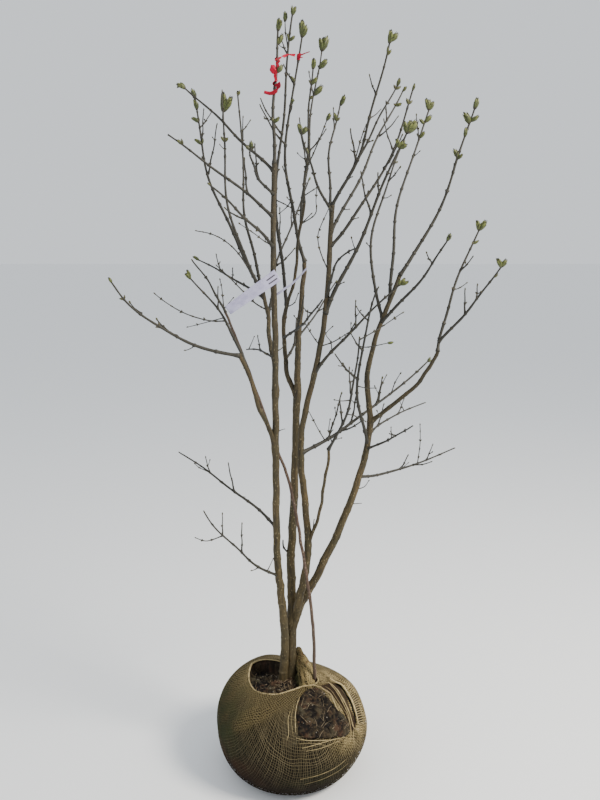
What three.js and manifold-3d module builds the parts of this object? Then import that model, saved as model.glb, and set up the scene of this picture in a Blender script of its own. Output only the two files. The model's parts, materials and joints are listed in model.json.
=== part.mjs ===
// A young lilac of five slender stems, bare but for its swelling buds, with its roots in a ball of
// soil that is wrapped in burlap. Millimetres, +Z up. The origin is the middle of the ball's flat
// underside, and the side that the plant shows best faces -Y.
import * as THREE from "three";
import { mergeVertices } from "three/addons/utils/BufferGeometryUtils.js";
import Module from "manifold-3d";

const wasm = await Module();
wasm.setup();

// Every piece that touches another keeps this much air to it.
const GAP = 0.3;

// The root ball: its own size, the height where it is widest, how much it leans to -X for each
// millimetre above that, the burlap's thickness, and the sunken shoulder at the back right: its
// azimuth and spread in degrees and its depth.
const BALL = {
  radius: 224,
  height: 316,
  footRadius: 130,
  bellyHeight: 135,
  lean: 0.11,
  burlap: 5,
  sunkenAt: 48,
  sunkenSpread: 58,
  sunkenDepth: 25,
  sides: 24,
  rings: 5,
};
const SOIL_FLOOR = 268;
const STEM_CUT = 262;

// The opening that leaves the foot of the stems bare, seen from above.
const STEM_OPENING = [
  [-122, 46], [-127, 0], [-122, -52], [-98, -92], [-46, -108], [-2, -100],
  [32, -72], [42, -30], [30, 8], [-35, 30], [-95, 54],
];

// The torn opening at the front right and the slit beside it. Each outline lies on the slope of
// the ball at its own azimuth and height: across to the right, then up the slope.
const FRONT_OPENING = {
  azimuth: -58,
  height: 243,
  outline: [[22, 93], [-50, 51], [-80, 8], [-82, -22], [-39, -39], [56, -61], [82, -45], [78, 9], [50, 76]],
};
const SIDE_SLIT = {
  azimuth: -21,
  height: 240,
  outline: [[12, 66], [36, 47], [31, 15], [8, -20], [-20, -62], [-27, -58], [-20, -13], [-5, 24]],
};
const SOIL_BULGE = 7;

// The taut fold of burlap runs across the front in one plane, from low on the left to the knot.
const FOLD = { normal: [-0.468, 0.404, 0.786], distance: 178, height: 8, width: 16, middle: -98, spread: 48 };

// The corner of the burlap that stands gathered against the stems.
const GATHER = {
  foot: [44, -14, 276],
  top: [24, 10, 362],
  footSize: [34, 58],
  topSize: [12, 12],
  pleats: 6,
  pleatDepth: 0.13,
  sides: 24,
  steps: 3,
};

// Stems: stations from the foot up, then the radius at foot and tip and the flare of the foot.
const STEMS = [
  {
    name: "left_stem",
    stations: [
      [-27, -10, STEM_CUT], [-19, -14, 403], [-31, -27, 566], [-40, -48, 704], [-40, -103, 1004],
      [-39, -109, 1272], [-43, -106, 1525], [-39, -97, 1735],
    ],
    radii: [13, 6.3],
    flare: 2.5,
  },
  {
    name: "middle_stem",
    stations: [
      [-2, 5, STEM_CUT], [1, 8, 487], [-1, 17, 639], [8, 38, 846], [17, 54, 1137], [19, 68, 1249],
      [28, 82, 1375], [39, 89, 1495],
    ],
    radii: [14.8, 6],
    flare: 3,
    cutBy: ["left_stem"],
  },
  {
    name: "right_stem",
    stations: [
      [0, 7, 420], [25, 1, 504], [51, 0, 554], [97, 0, 647], [142, 0, 753], [181, 8, 855],
      [211, 17, 958], [223, 16, 1054], [211, 9, 1156], [217, 0, 1230], [238, -9, 1313],
      [290, -27, 1461],
    ],
    radii: [13.4, 5.6],
    cutBy: ["middle_stem"],
  },
  {
    name: "crossing_stem",
    stations: [
      [12, 3, 468], [22, -21, 535], [37, -27, 604], [48, -30, 698], [39, -33, 835], [28, -34, 951],
      [34, -32, 1066], [74, -36, 1242], [96, -48, 1401], [107, -68, 1639],
    ],
    radii: [12.2, 6.2],
    cutBy: ["middle_stem", "right_stem"],
  },
  {
    name: "young_stem",
    stations: [
      [69, -30, STEM_CUT], [65, -38, 416], [54, -44, 544], [37, -54, 664], [17, -63, 792],
      [-5, -67, 902], [-31, -60, 977], [-92, -45, 1147], [-141, -18, 1274], [-179, 18, 1360],
    ],
    radii: [5, 3.4],
  },
];

// Boughs: the limb each grows from and the height where it leaves it, its heading in degrees (0 is
// +X and -90 is the front), its reach and rise, how far its middle sags and sways to +X, and its
// radius at foot and tip.
const BOUGHS = [
  ["left_bough", "left_stem", 1006, -135, 122, 264, -7, 0, 6.2, 5],
  ["back_bough", "left_stem", 1163, 106, 166, 271, -3, 8, 6.6, 5.2],
  ["fork_bough", "middle_stem", 1121, 109, 94, 250, 17, -21, 7.4, 5.4],
  ["inner_bough", "fork_bough", 1336, -67, 143, 314, 18, 3, 4.6, 3.8],
  ["rising_bough", "crossing_stem", 703, -63, 113, 311, -16, 15, 4.6, 3.8],
  ["right_bough", "right_stem", 1053, -41, 209, 218, -7, 33, 6, 4.6],
];

// Shoots: placed as the boughs are, then the number of side twigs that each may carry.
const SHOOTS = [
  ["low_left_shoot", "left_stem", 612, -133, 268, 260, 21, -9, 3.6, 1.6, 2],
  ["left_low_shoot", "left_stem", 766, 151, 330, 174, 6, 26, 4, 1.8, 2],
  ["far_left_shoot", "left_bough", 1266, -166, 302, 183, 29, -28, 4.2, 1.8, 2],
  ["left_bough_shoot", "left_bough", 1233, 144, 191, 225, 7, 27, 4, 1.8, 3],
  ["young_top_shoot", "young_stem", 1359, 160, 98, 139, 0, 6, 3, 1.8, 2],
  ["short_left_shoot", "left_stem", 1246, 116, 197, 5, -10, 0, 3, 1.6, 1],
  ["tall_left_shoot", "back_bough", 1419, 138, 263, 543, 16, -30, 4.6, 2, 3],
  ["upright_left_shoot", "back_bough", 1407, 176, 102, 484, 35, -31, 4.2, 2, 1],
  ["tall_back_shoot", "back_bough", 1433, 106, 277, 562, 66, -7, 4.2, 2, 2],
  ["flat_back_shoot", "back_bough", 1395, 139, 285, 111, 1, 13, 3.6, 1.8, 2],
  ["cross_back_shoot", "back_bough", 1345, 71, 347, 395, 40, -29, 4, 1.8, 3],
  ["front_left_shoot", "left_stem", 1533, -118, 274, 128, 3, 9, 4, 1.8, 2],
  ["left_rise_shoot", "left_stem", 1607, -163, 258, 186, 7, 17, 4, 1.8, 2],
  ["left_high_shoot", "left_stem", 1717, 155, 271, 232, 5, 8, 3.8, 1.8, 2],
  ["front_hook_shoot", "left_stem", 1661, -98, 276, 73, -6, -20, 3.4, 1.6, 1],
  ["left_leader", "left_stem", 1735, 72, 34, 327, 5, -4, 4.2, 2.2, 0],
  ["top_leader", "fork_bough", 1371, -71, 62, 770, 12, -30, 4.6, 2.2, 2],
  ["inner_shoot", "inner_bough", 1650, -57, 41, 326, 9, -3, 3.4, 1.8, 0],
  ["inner_right_shoot", "inner_bough", 1600, 70, 167, 469, 44, -12, 3.4, 1.8, 3],
  ["front_middle_shoot", "fork_bough", 1280, -72, 324, 124, 3, 9, 3.6, 1.8, 2],
  ["back_middle_shoot", "fork_bough", 1220, 56, 274, 212, 33, -21, 3.6, 1.8, 2],
  ["middle_leader", "middle_stem", 1495, -97, 72, 567, 28, -43, 4.6, 2, 2],
  ["top_front_shoot", "crossing_stem", 1638, -39, 166, 372, 36, 8, 4, 1.8, 2],
  ["crossing_front_shoot", "crossing_stem", 1623, -111, 221, 166, 3, -9, 3.4, 1.6, 1],
  ["crossing_back_shoot", "crossing_stem", 1608, 80, 207, 334, 9, -19, 3.6, 1.8, 1],
  ["side_back_shoot", "crossing_stem", 1569, 44, 290, 399, 24, -12, 4, 1.8, 2],
  ["side_middle_shoot", "top_front_shoot", 1701, 7, 124, 227, 1, -2, 3, 1.6, 1],
  ["side_front_shoot", "crossing_stem", 1535, 0, 207, 394, 25, 20, 4, 1.8, 2],
  ["outer_front_shoot", "crossing_stem", 1361, -30, 223, 448, 17, -6, 5.4, 2, 2],
  ["front_curl_shoot", "crossing_stem", 1401, -74, 229, 127, -26, -12, 3.2, 1.6, 1],
  ["under_right_shoot", "crossing_stem", 1197, -14, 234, 249, 13, -25, 4.2, 1.8, 2],
  ["long_right_shoot", "crossing_stem", 974, 26, 418, 233, 23, -5, 5, 2, 4],
  ["rising_shoot", "rising_bough", 1010, -63, 147, 306, 12, 17, 3.6, 1.8, 3],
  ["right_outer_shoot", "right_bough", 1268, 24, 119, 318, 25, -21, 4, 2, 1],
  ["right_front_shoot", "right_outer_shoot", 1293, -42, 168, 196, 4, 4, 3.6, 1.8, 2],
  ["low_right_shoot", "right_stem", 894, 34, 375, 29, 23, -25, 4, 1.8, 3],
  ["right_front_twig", "right_stem", 973, -66, 232, 115, -1, 10, 3.2, 1.6, 1],
  ["right_back_twig", "right_stem", 1008, 47, 277, 60, 2, -33, 3.4, 1.6, 2],
  ["near_right_shoot", "right_stem", 988, -91, 232, 445, -1, -35, 4.4, 1.8, 3],
  ["back_right_shoot", "right_stem", 1345, 69, 177, 474, 24, -53, 4.2, 2, 1],
  ["tall_right_shoot", "right_stem", 1395, 57, 231, 534, 15, -31, 4.4, 2, 1],
  ["right_out_shoot", "right_stem", 1335, -57, 251, 222, 2, 11, 4, 1.8, 1],
  ["right_leader", "right_stem", 1461, 0, 183, 428, 45, 4, 4.6, 2, 1],
];

// Twig growth: buds in opposite pairs, each pair a quarter turn from the last.
const NODE_SPACING = 46;
const TWIG_CLEARANCE = 4;
const WOBBLE = 0.012;
const LEADER_BUD = { length: 30, width: 10 };
const TWIG_BUD = { length: 21, width: 7 };
const SIDE_BUD = { length: 15, width: 6 };
const SIDE_PAIRS = 1;

// The label looped round the left stem, and the flagging tape near the top.
const TAG = {
  height: 1456,
  hangsTo: [-158, -134, 1375],
  width: 32,
  tailTo: [40, -128, 1475],
  tailWidth: 7,
  bow: 5,
  thickness: 1.2,
  loopWidth: 26,
};
const TAPE = {
  low: 1908,
  high: 2004,
  thickness: 1.6,
  knotHeight: 2016,
  twist: 2.4,
  tailTo: [52, 22, 2034],
  droopTo: [-62, -96, 1906],
};

const COLOURS = {
  soil: 0x3a2a1e,
  burlap: 0x8f7a45,
  olderBark: 0x6f664a,
  youngBark: 0x6a5044,
  twig: 0x6b6350,
  tag: 0xd9d3e2,
  tape: 0xc8556a,
};

function paint(colour, roughness) {
  return new THREE.MeshStandardMaterial({ color: colour, roughness, metalness: 0 });
}

const MATERIALS = {
  soil: paint(COLOURS.soil, 1),
  burlap: paint(COLOURS.burlap, 0.95),
  olderBark: paint(COLOURS.olderBark, 0.8),
  youngBark: paint(COLOURS.youngBark, 0.75),
  twig: paint(COLOURS.twig, 0.75),
  tag: paint(COLOURS.tag, 0.5),
  tape: paint(COLOURS.tape, 0.4),
};

const plant = new THREE.Group();

// Solids: a closed geometry becomes one that can be joined and cut, and goes back to a mesh.

function toSolid(geometry) {
  geometry.deleteAttribute("normal");
  geometry.deleteAttribute("uv");
  const merged = mergeVertices(geometry, 1e-4);
  const corners = [];
  for (let i = 0; i < merged.index.count; i += 3) {
    const [a, b, c] = [0, 1, 2].map((k) => merged.index.getX(i + k));
    if (a !== b && b !== c && c !== a) {
      corners.push(a, b, c);
    }
  }
  return new wasm.Manifold(
    new wasm.Mesh({
      numProp: 3,
      vertProperties: new Float32Array(merged.attributes.position.array),
      triVerts: new Uint32Array(corners),
    }),
  );
}

function joined(solids) {
  return solids.reduce((whole, solid) => whole.add(solid));
}

// What is left of a solid after the cuts, without the slivers that a slanting cut leaves loose.
function cut(solid, cutters) {
  const rest = cutters.reduce((whole, cutter) => whole.subtract(cutter), solid);
  const pieces = rest.decompose();
  return pieces.reduce((largest, piece) => (piece.volume() > largest.volume() ? piece : largest));
}

function place(name, solid, material) {
  const { vertProperties, triVerts } = solid.getMesh();
  const geometry = new THREE.BufferGeometry();
  geometry.setAttribute("position", new THREE.BufferAttribute(vertProperties, 3));
  geometry.setIndex(new THREE.BufferAttribute(triVerts, 1));
  geometry.computeVertexNormals();
  const mesh = new THREE.Mesh(geometry, material);
  mesh.name = name;
  plant.add(mesh);
}

// Curves and sweeps.

const radians = THREE.MathUtils.degToRad;

function vector(numbers) {
  return new THREE.Vector3(...numbers);
}

// A smooth curve through a stem's stations, each stretch bending as its neighbours lead it.
function stationPath(stations) {
  const last = stations.length - 1;
  return (t) => {
    const place = Math.min(t * last, last - 1e-9);
    const index = Math.floor(place);
    const u = place - index;
    const [p0, p1, p2, p3] = [-1, 0, 1, 2].map((k) => stations[Math.max(0, Math.min(last, index + k))]);
    return vector(
      [0, 1, 2].map((k) => {
        const pull = (p2[k] - p0[k]) / 2;
        const push = (p3[k] - p1[k]) / 2;
        const rest = p2[k] - p1[k];
        return p1[k] + u * (pull + u * (3 * rest - 2 * pull - push + u * (pull + push - 2 * rest)));
      }),
    );
  };
}

// A limb's curve: straight from foot to tip, but for its sag, its sway and a slight wobble.
function limbPath(foot, tip, sag, sway, phase) {
  const wobble = WOBBLE * foot.distanceTo(tip);
  return (t) => {
    const swell = 4 * t * (1 - t);
    const point = foot.clone().lerp(tip, t);
    point.x += swell * (sway + wobble * Math.sin(phase + 9 * t));
    point.y += swell * wobble * Math.cos(phase + 7 * t);
    point.z -= swell * sag;
    return point;
  };
}

// The same curve as its solid has it: straight from ring to ring.
function facetedPath(path, steps) {
  return (t) => {
    const index = Math.min(Math.floor(t * steps), steps - 1);
    return path(index / steps).lerp(path((index + 1) / steps), t * steps - index);
  };
}

function directionAt(path, t) {
  const step = 0.01;
  const ahead = path(Math.min(1, t + step));
  return ahead.sub(path(Math.max(0, t - step))).normalize();
}

// A closed body along a path. The radius is a function of how far along it is, and the section has a
// round one's area. Grow widens and lengthens it, for cutting a neighbour clear of it.
function sweep(path, radiusAt, sides, steps, grow = 0) {
  const geometry = new THREE.CylinderGeometry(1, 1, 1, sides, steps);
  const position = geometry.attributes.position;
  const chord = path(1).sub(path(0)).normalize();
  const fullness = Math.sqrt((2 * Math.PI) / (sides * Math.sin((2 * Math.PI) / sides)));
  const guide = Math.abs(chord.y) < 0.7 ? vector([0, 1, 0]) : vector([1, 0, 0]);
  for (let i = 0; i < position.count; i += 1) {
    const t = position.getY(i) + 0.5;
    const along = directionAt(path, t);
    const first = guide.clone().addScaledVector(along, -guide.dot(along)).normalize();
    const second = first.clone().cross(along);
    const radius = radiusAt(t) * fullness + grow / Math.cos(Math.PI / sides);
    const point = path(t).addScaledVector(first, radius * position.getX(i));
    point.addScaledVector(second, radius * position.getZ(i));
    point.addScaledVector(along, grow * Math.round(2 * t - 1) * (t < 0.001 || t > 0.999 ? 1 : 0));
    position.setXYZ(i, point.x, point.y, point.z);
  }
  return toSolid(geometry);
}

// Limbs: each keeps its path, radius and solid, so that others can grow from it and stay clear.

const limbs = {};

function pathLength(path) {
  const steps = 24;
  let length = 0;
  for (let i = 0; i < steps; i += 1) {
    length += path(i / steps).distanceTo(path((i + 1) / steps));
  }
  return length;
}

function makeLimb(name, path, radiusAt, sides, stepLength) {
  const length = pathLength(path);
  const steps = Math.max(3, Math.round(length / stepLength));
  const limb = { name, path, radiusAt, length, sides, steps };
  limb.spine = facetedPath(path, steps);
  limb.solid = sweep(path, radiusAt, sides, steps);
  limbs[name] = limb;
  return limb;
}

function grown(limb) {
  return sweep(limb.path, limb.radiusAt, limb.sides, limb.steps, GAP);
}

// Every limb rises all the way, so a height gives one place on it.
function shareAtHeight(limb, height) {
  let low = 0;
  let high = 1;
  for (let i = 0; i < 40; i += 1) {
    const middle = (low + high) / 2;
    if (limb.path(middle).z < height) {
      low = middle;
    } else {
      high = middle;
    }
  }
  return (low + high) / 2;
}

function taper(foot, tip) {
  return (t) => foot + (tip - foot) * t;
}

function growFrom([name, parentName, height, heading, reach, rise, sag, sway, foot, tip], sides, stepLength) {
  const parent = limbs[parentName];
  const start = parent.path(shareAtHeight(parent, height));
  const across = vector([Math.cos(radians(heading)), Math.sin(radians(heading)), 0]);
  const end = start.clone().addScaledVector(across, reach);
  end.z += rise;
  const path = limbPath(start, end, sag, sway, height);
  const limb = makeLimb(name, path, taper(foot, tip), sides, stepLength);
  limb.parent = parent;
  return limb;
}

// Stems and boughs.

function makeStem({ name, stations, radii: [foot, tip], flare = 0 }) {
  const path = stationPath(stations);
  const length = pathLength(path);
  const radiusAt = (t) => foot + (tip - foot) * t + flare * Math.exp((-t * length) / 35);
  return makeLimb(name, path, radiusAt, foot > 8 ? 7 : 5, 75);
}

for (const stem of STEMS) {
  makeStem(stem);
}
for (const stem of STEMS) {
  const cutters = (stem.cutBy ?? []).map((name) => grown(limbs[name]));
  const bark = stem.name === "young_stem" ? MATERIALS.youngBark : MATERIALS.olderBark;
  place(stem.name, cut(limbs[stem.name].solid, cutters), bark);
}
for (const row of BOUGHS) {
  const bough = growFrom(row, 5, 50);
  place(bough.name, cut(bough.solid, [grown(bough.parent)]), MATERIALS.olderBark);
}

// Shoots: every leader is laid out first, so that side twigs can be kept clear of all of them.

function makeRandom(seed) {
  let state = seed * 7919 + 17;
  return () => {
    state = (state * 16807) % 2147483647;
    return state / 2147483647;
  };
}

function samples(path, radiusAt, spacing, length) {
  const count = Math.max(2, Math.ceil(length / spacing));
  const spots = [];
  for (let i = 0; i <= count; i += 1) {
    const t = i / count;
    spots.push({ point: path(t), radius: radiusAt(t) });
  }
  return spots;
}

function isClear(spots, others) {
  return spots.every((spot) =>
    others.every((other) => spot.point.distanceTo(other.point) > spot.radius + other.radius + TWIG_CLEARANCE),
  );
}

function bud(at, direction, { length, width }) {
  const geometry = new THREE.OctahedronGeometry(1, 0);
  geometry.scale(width / 2, length / 2, width / 2);
  geometry.translate(0, length * 0.42, 0);
  geometry.applyQuaternion(new THREE.Quaternion().setFromUnitVectors(vector([0, 1, 0]), direction));
  geometry.translate(at.x, at.y, at.z);
  return toSolid(geometry);
}

// The two directions square to a shoot in which the pair of buds at a node points.
function pairDirections(path, t, node) {
  const along = directionAt(path, t);
  const level = vector([0, 0, 1]).cross(along).normalize();
  const upper = along.clone().cross(level);
  const side = node % 2 ? level : upper;
  return [side.clone(), side.clone().negate()];
}

// A bud leans away from its twig, outwards and on towards the twig's tip.
function budsAtNode(path, radiusAt, t, node, size) {
  const along = directionAt(path, t);
  return pairDirections(path, t, node).map((side) => {
    const lean = along.clone().multiplyScalar(0.8).addScaledVector(side, 0.6).normalize();
    return bud(path(t).addScaledVector(side, radiusAt(t) * 0.4), lean, size);
  });
}

function endBuds(path, node, size) {
  const along = directionAt(path, 1);
  return pairDirections(path, 1, node).map((side) => {
    const lean = along.clone().multiplyScalar(0.93).addScaledVector(side, 0.36).normalize();
    return bud(path(1).addScaledVector(along, -2), lean, size);
  });
}

// One side twig from a node: it leaves on the upper side and bends up towards its tip.
function sideTwig(shoot, t, node, random) {
  const start = shoot.spine(t);
  const along = directionAt(shoot.path, t);
  const [one, other] = pairDirections(shoot.path, t, node);
  const side = one.z > other.z ? one : other;
  const reach = Math.min(150, Math.max(45, shoot.length * (0.2 + 0.2 * random()) * (1.15 - t)));
  const lean = 0.75 + 0.25 * random();
  const end = start.clone().addScaledVector(along, reach * 0.62).addScaledVector(side, reach * lean * 0.72);
  end.z += reach * 0.12;
  const path = limbPath(start, end, reach * 0.07, 0, node);
  const foot = Math.min(shoot.radiusAt(t) * 0.8, 2.6);
  return { path, radiusAt: taper(foot, foot * 0.6), length: reach };
}

const leaders = SHOOTS.map((row) => growFrom(row, 4, 105));
const skeleton = {};
for (const limb of Object.values(limbs)) {
  skeleton[limb.name] = samples(limb.path, limb.radiusAt, 10, limb.length);
}

// The label: a strip looped round the left stem, one end hanging out to the left and the other cut
// narrow, out to the right.
function makeLabel() {
  const stem = limbs.left_stem;
  const share = shareAtHeight(stem, TAG.height);
  const centre = stem.path(share);
  const inner = stem.radiusAt(share) * 1.14 + GAP * 2;
  const outer = inner + TAG.thickness;
  const half = TAG.loopWidth / 2;
  const ring = [[inner, -half], [outer, -half], [outer, half], [inner, half], [inner, -half]];
  const loop = new THREE.LatheGeometry(ring.map(([x, y]) => new THREE.Vector2(x, y)), 12);
  loop.rotateX(Math.PI / 2);
  loop.translate(centre.x, centre.y, centre.z);

  const front = centre.clone().add(vector([0, -outer + GAP, 0]));
  const hang = flatStrip("label_strip", front.clone().add(vector([3, 0, 0])), TAG.hangsTo, TAG.width, 6);
  const tail = flatStrip("label_tail", front.clone().add(vector([-2, 0, -9])), TAG.tailTo, TAG.tailWidth, 4);
  place("plant_tag", joined([toSolid(loop), hang, tail]), MATERIALS.tag);
}

// A thin strip on edge to the front, from one point to another, with a shallow bow.
function flatStrip(name, from, to, width, steps) {
  const end = vector(to);
  const length = from.distanceTo(end);
  const along = end.clone().sub(from).normalize();
  const normal = vector([0, -1, 0]).addScaledVector(along, along.y).normalize();
  const across = normal.clone().cross(along);
  const bowed = (t) =>
    from.clone().addScaledVector(along, t * length).addScaledVector(normal, TAG.bow * Math.sin(Math.PI * t));
  const geometry = new THREE.BoxGeometry(length, width, TAG.thickness, steps, 1, 1);
  const position = geometry.attributes.position;
  for (let i = 0; i < position.count; i += 1) {
    const point = bowed(position.getX(i) / length + 0.5);
    point.addScaledVector(across, position.getY(i)).addScaledVector(normal, position.getZ(i));
    position.setXYZ(i, point.x, point.y, point.z);
  }
  skeleton[name] = samples(bowed, () => width / 2, 10, length);
  return toSolid(geometry);
}

makeLabel();

// The flagging tape: wound on the left leader, then twisted across to a knot on the middle one.
function sleeve(limb, low, high, thickness) {
  const [from, to] = [low, high].map((height) => shareAtHeight(limb, height));
  const path = (t) => limb.spine(from + (to - from) * t);
  const radiusAt = (t) => limb.radiusAt(from + (to - from) * t) * 1.12 + thickness;
  return sweep(path, radiusAt, 7, 2);
}

function tapeStrand(name, from, to, radiusAt) {
  const path = limbPath(from, to, 3, 0, 1);
  skeleton[name] = samples(path, radiusAt, 8, from.distanceTo(to));
  return sweep(path, radiusAt, 4, 3);
}

function makeTape() {
  const { left_leader: left, middle_leader: middle } = limbs;
  const seatOn = (limb, height) => {
    const share = shareAtHeight(limb, height);
    return limb.path(share).add(vector([0, -limb.radiusAt(share) - TAPE.thickness, 0]));
  };
  const knot = seatOn(middle, TAPE.knotHeight);
  const pieces = [
    sleeve(left, TAPE.low, TAPE.high, TAPE.thickness),
    sleeve(middle, TAPE.knotHeight - 7, TAPE.knotHeight + 7, TAPE.thickness * 2),
    tapeStrand("tape_twist", seatOn(left, TAPE.high - 6), knot, () => TAPE.twist),
    tapeStrand("tape_tail", knot, vector(TAPE.tailTo), taper(TAPE.twist, 1)),
    tapeStrand("tape_end", seatOn(left, TAPE.low + 8), vector(TAPE.droopTo), taper(TAPE.twist, 3)),
  ];
  place("flagging_tape", cut(joined(pieces), [grown(left), grown(middle)]), MATERIALS.tape);
}

makeTape();

function growShoot(shoot, seed, wanted) {
  const random = makeRandom(seed);
  const elders = leaders.slice(0, leaders.indexOf(shoot)).filter((other) => other.parent === shoot.parent);
  const pieces = [cut(shoot.solid, [shoot.parent, ...elders].map(grown))];
  const nodes = Math.floor(shoot.length / NODE_SPACING);
  const others = Object.keys(skeleton).filter((name) => name !== shoot.name);
  let grownTwigs = 0;
  for (let node = nodes - 2; node > 1 && grownTwigs < wanted; node -= 1) {
    if (random() < 0.62) {
      const twig = sideTwig(shoot, node / nodes, node, random);
      const spots = samples(twig.path, twig.radiusAt, 10, twig.length);
      const end = spots[spots.length - 1];
      end.radius = TWIG_BUD.width;
      if (others.every((name) => isClear(spots, skeleton[name]))) {
        pieces.push(sweep(twig.path, twig.radiusAt, 3, 2));
        pieces.push(bud(twig.path(1), directionAt(twig.path, 1), TWIG_BUD));
        skeleton[`${shoot.name}_twig_${node}`] = spots;
        grownTwigs += 1;
      }
    }
  }
  for (let node = nodes - 1; node >= Math.max(1, nodes - SIDE_PAIRS); node -= 1) {
    const seat = [{ point: shoot.spine(node / nodes), radius: SIDE_BUD.width }];
    if (others.every((name) => isClear(seat, skeleton[name]))) {
      pieces.push(...budsAtNode(shoot.spine, shoot.radiusAt, node / nodes, node, SIDE_BUD));
    }
  }
  pieces.push(...endBuds(shoot.path, nodes, LEADER_BUD));
  return joined(pieces);
}

leaders.forEach((shoot, index) => {
  const wanted = SHOOTS[index][SHOOTS[index].length - 1];
  place(shoot.name, growShoot(shoot, index + 1, wanted), MATERIALS.twig);
});

// The root ball.

// The ball's form, drawn in by the inset: a rounded jar on a flat foot, with slight lumps and the
// long fold of the burlap.
function ballForm(inset) {
  const profile = [new THREE.Vector2(0, inset)];
  const radius = BALL.radius - inset;
  const foot = BALL.footRadius - inset / 2;
  const top = BALL.height - inset - BALL.bellyHeight;
  for (let i = 0; i <= BALL.rings; i += 1) {
    const swing = (i / BALL.rings) * (Math.PI / 2);
    const height = inset + (BALL.bellyHeight - inset) * (1 - Math.cos(swing));
    profile.push(new THREE.Vector2(foot + (radius - foot) * Math.sin(swing), height));
  }
  for (let i = 1; i < BALL.rings; i += 1) {
    const swing = (i / BALL.rings) * (Math.PI / 2);
    profile.push(new THREE.Vector2(radius * Math.cos(swing) ** 0.92, BALL.bellyHeight + top * Math.sin(swing)));
  }
  profile.push(new THREE.Vector2(0, BALL.bellyHeight + top));
  const geometry = new THREE.LatheGeometry(profile, BALL.sides);
  geometry.rotateX(Math.PI / 2);
  const position = geometry.attributes.position;
  for (let i = 0; i < position.count; i += 1) {
    const point = new THREE.Vector3().fromBufferAttribute(position, i);
    point.z -= sunken(point, top);
    const swell = 1 + ballSwell(point) / BALL.radius;
    const lean = BALL.lean * Math.max(0, point.z - BALL.bellyHeight);
    position.setXYZ(i, point.x * swell - lean, point.y * swell, point.z);
  }
  return toSolid(geometry);
}

// How far the shoulder has sunk below the jar's own form, which rises to the top above the belly.
function sunken(point, top) {
  const rise = THREE.MathUtils.clamp(((point.z - BALL.bellyHeight) / top - 0.35) / 0.4, 0, 1);
  const fromAxis = THREE.MathUtils.clamp(Math.hypot(point.x, point.y) / 60, 0, 1);
  const azimuth = THREE.MathUtils.radToDeg(Math.atan2(point.y, point.x));
  return BALL.sunkenDepth * rise * fromAxis * Math.exp(-(((azimuth - BALL.sunkenAt) / BALL.sunkenSpread) ** 4));
}

function ballSwell(point) {
  const azimuth = Math.atan2(point.y, point.x);
  const level = Math.sin((Math.PI * point.z) / BALL.height);
  const lumps = 3 * Math.sin(3 * azimuth + 1) + 2 * Math.sin(5 * azimuth + point.z / 40);
  const fromFold = vector(FOLD.normal).dot(point) - FOLD.distance;
  const along = (THREE.MathUtils.radToDeg(azimuth) - FOLD.middle) / FOLD.spread;
  const fold = FOLD.height * Math.exp(-((fromFold / FOLD.width) ** 2)) * Math.exp(-(along ** 4));
  return level * (lumps + fold);
}

// A prism whose outline faces out from the slope of the ball at an azimuth and a height.
function slopePrism({ azimuth, height, outline }, shrink, near, far) {
  const points = outline.map(([across, up]) => new THREE.Vector2(across, up).multiplyScalar(shrink));
  const curve = new THREE.SplineCurve([...points, points[0]]);
  const shape = new THREE.Shape(curve.getPoints(22).slice(0, -1));
  const geometry = new THREE.ExtrudeGeometry(shape, { depth: far - near, bevelEnabled: false });
  geometry.translate(0, 0, near);
  const lift = Math.asin((height - BALL.bellyHeight) / (BALL.height - BALL.bellyHeight));
  const radius = BALL.radius * Math.cos(lift) ** 0.92;
  geometry.rotateX(Math.PI / 2 - lift);
  geometry.rotateZ(radians(azimuth + 90));
  const lean = BALL.lean * (height - BALL.bellyHeight);
  geometry.translate(radius * Math.cos(radians(azimuth)) - lean, radius * Math.sin(radians(azimuth)), height);
  return toSolid(geometry);
}

// The stems' opening, scaled about its middle, as an upright prism.
function openingPrism(scale, low, high) {
  const middle = new THREE.Vector2(-42, -26);
  const points = STEM_OPENING.map(([x, y]) => new THREE.Vector2(x, y).sub(middle).multiplyScalar(scale).add(middle));
  const curve = new THREE.SplineCurve([...points, points[0]]);
  const shape = new THREE.Shape(curve.getPoints(22).slice(0, -1));
  const geometry = new THREE.ExtrudeGeometry(shape, { depth: high - low, bevelEnabled: false });
  geometry.translate(0, 0, low);
  return toSolid(geometry);
}

function makeRootBall() {
  const stemFeet = ["left_stem", "middle_stem", "young_stem"].map((name) => grown(limbs[name]));
  const bulge = ballForm(-SOIL_BULGE).intersect(slopePrism(FRONT_OPENING, 0.95, -60, 40));
  const soil = ballForm(BALL.burlap + GAP * 2).add(bulge);
  const pit = openingPrism(1.04, SOIL_FLOOR, BALL.height + 50);
  place("soil_ball", cut(soil, [pit, ...stemFeet]), MATERIALS.soil);

  const openings = [
    openingPrism(1, SOIL_FLOOR - 30, BALL.height + 50),
    slopePrism(FRONT_OPENING, 1, -60, 60),
    slopePrism(SIDE_SLIT, 1, -25, 40),
  ];
  const wrap = cut(ballForm(0), [ballForm(BALL.burlap), ...openings]);
  place("burlap_wrap", cut(wrap, stemFeet), MATERIALS.burlap);
}

makeRootBall();

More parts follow.
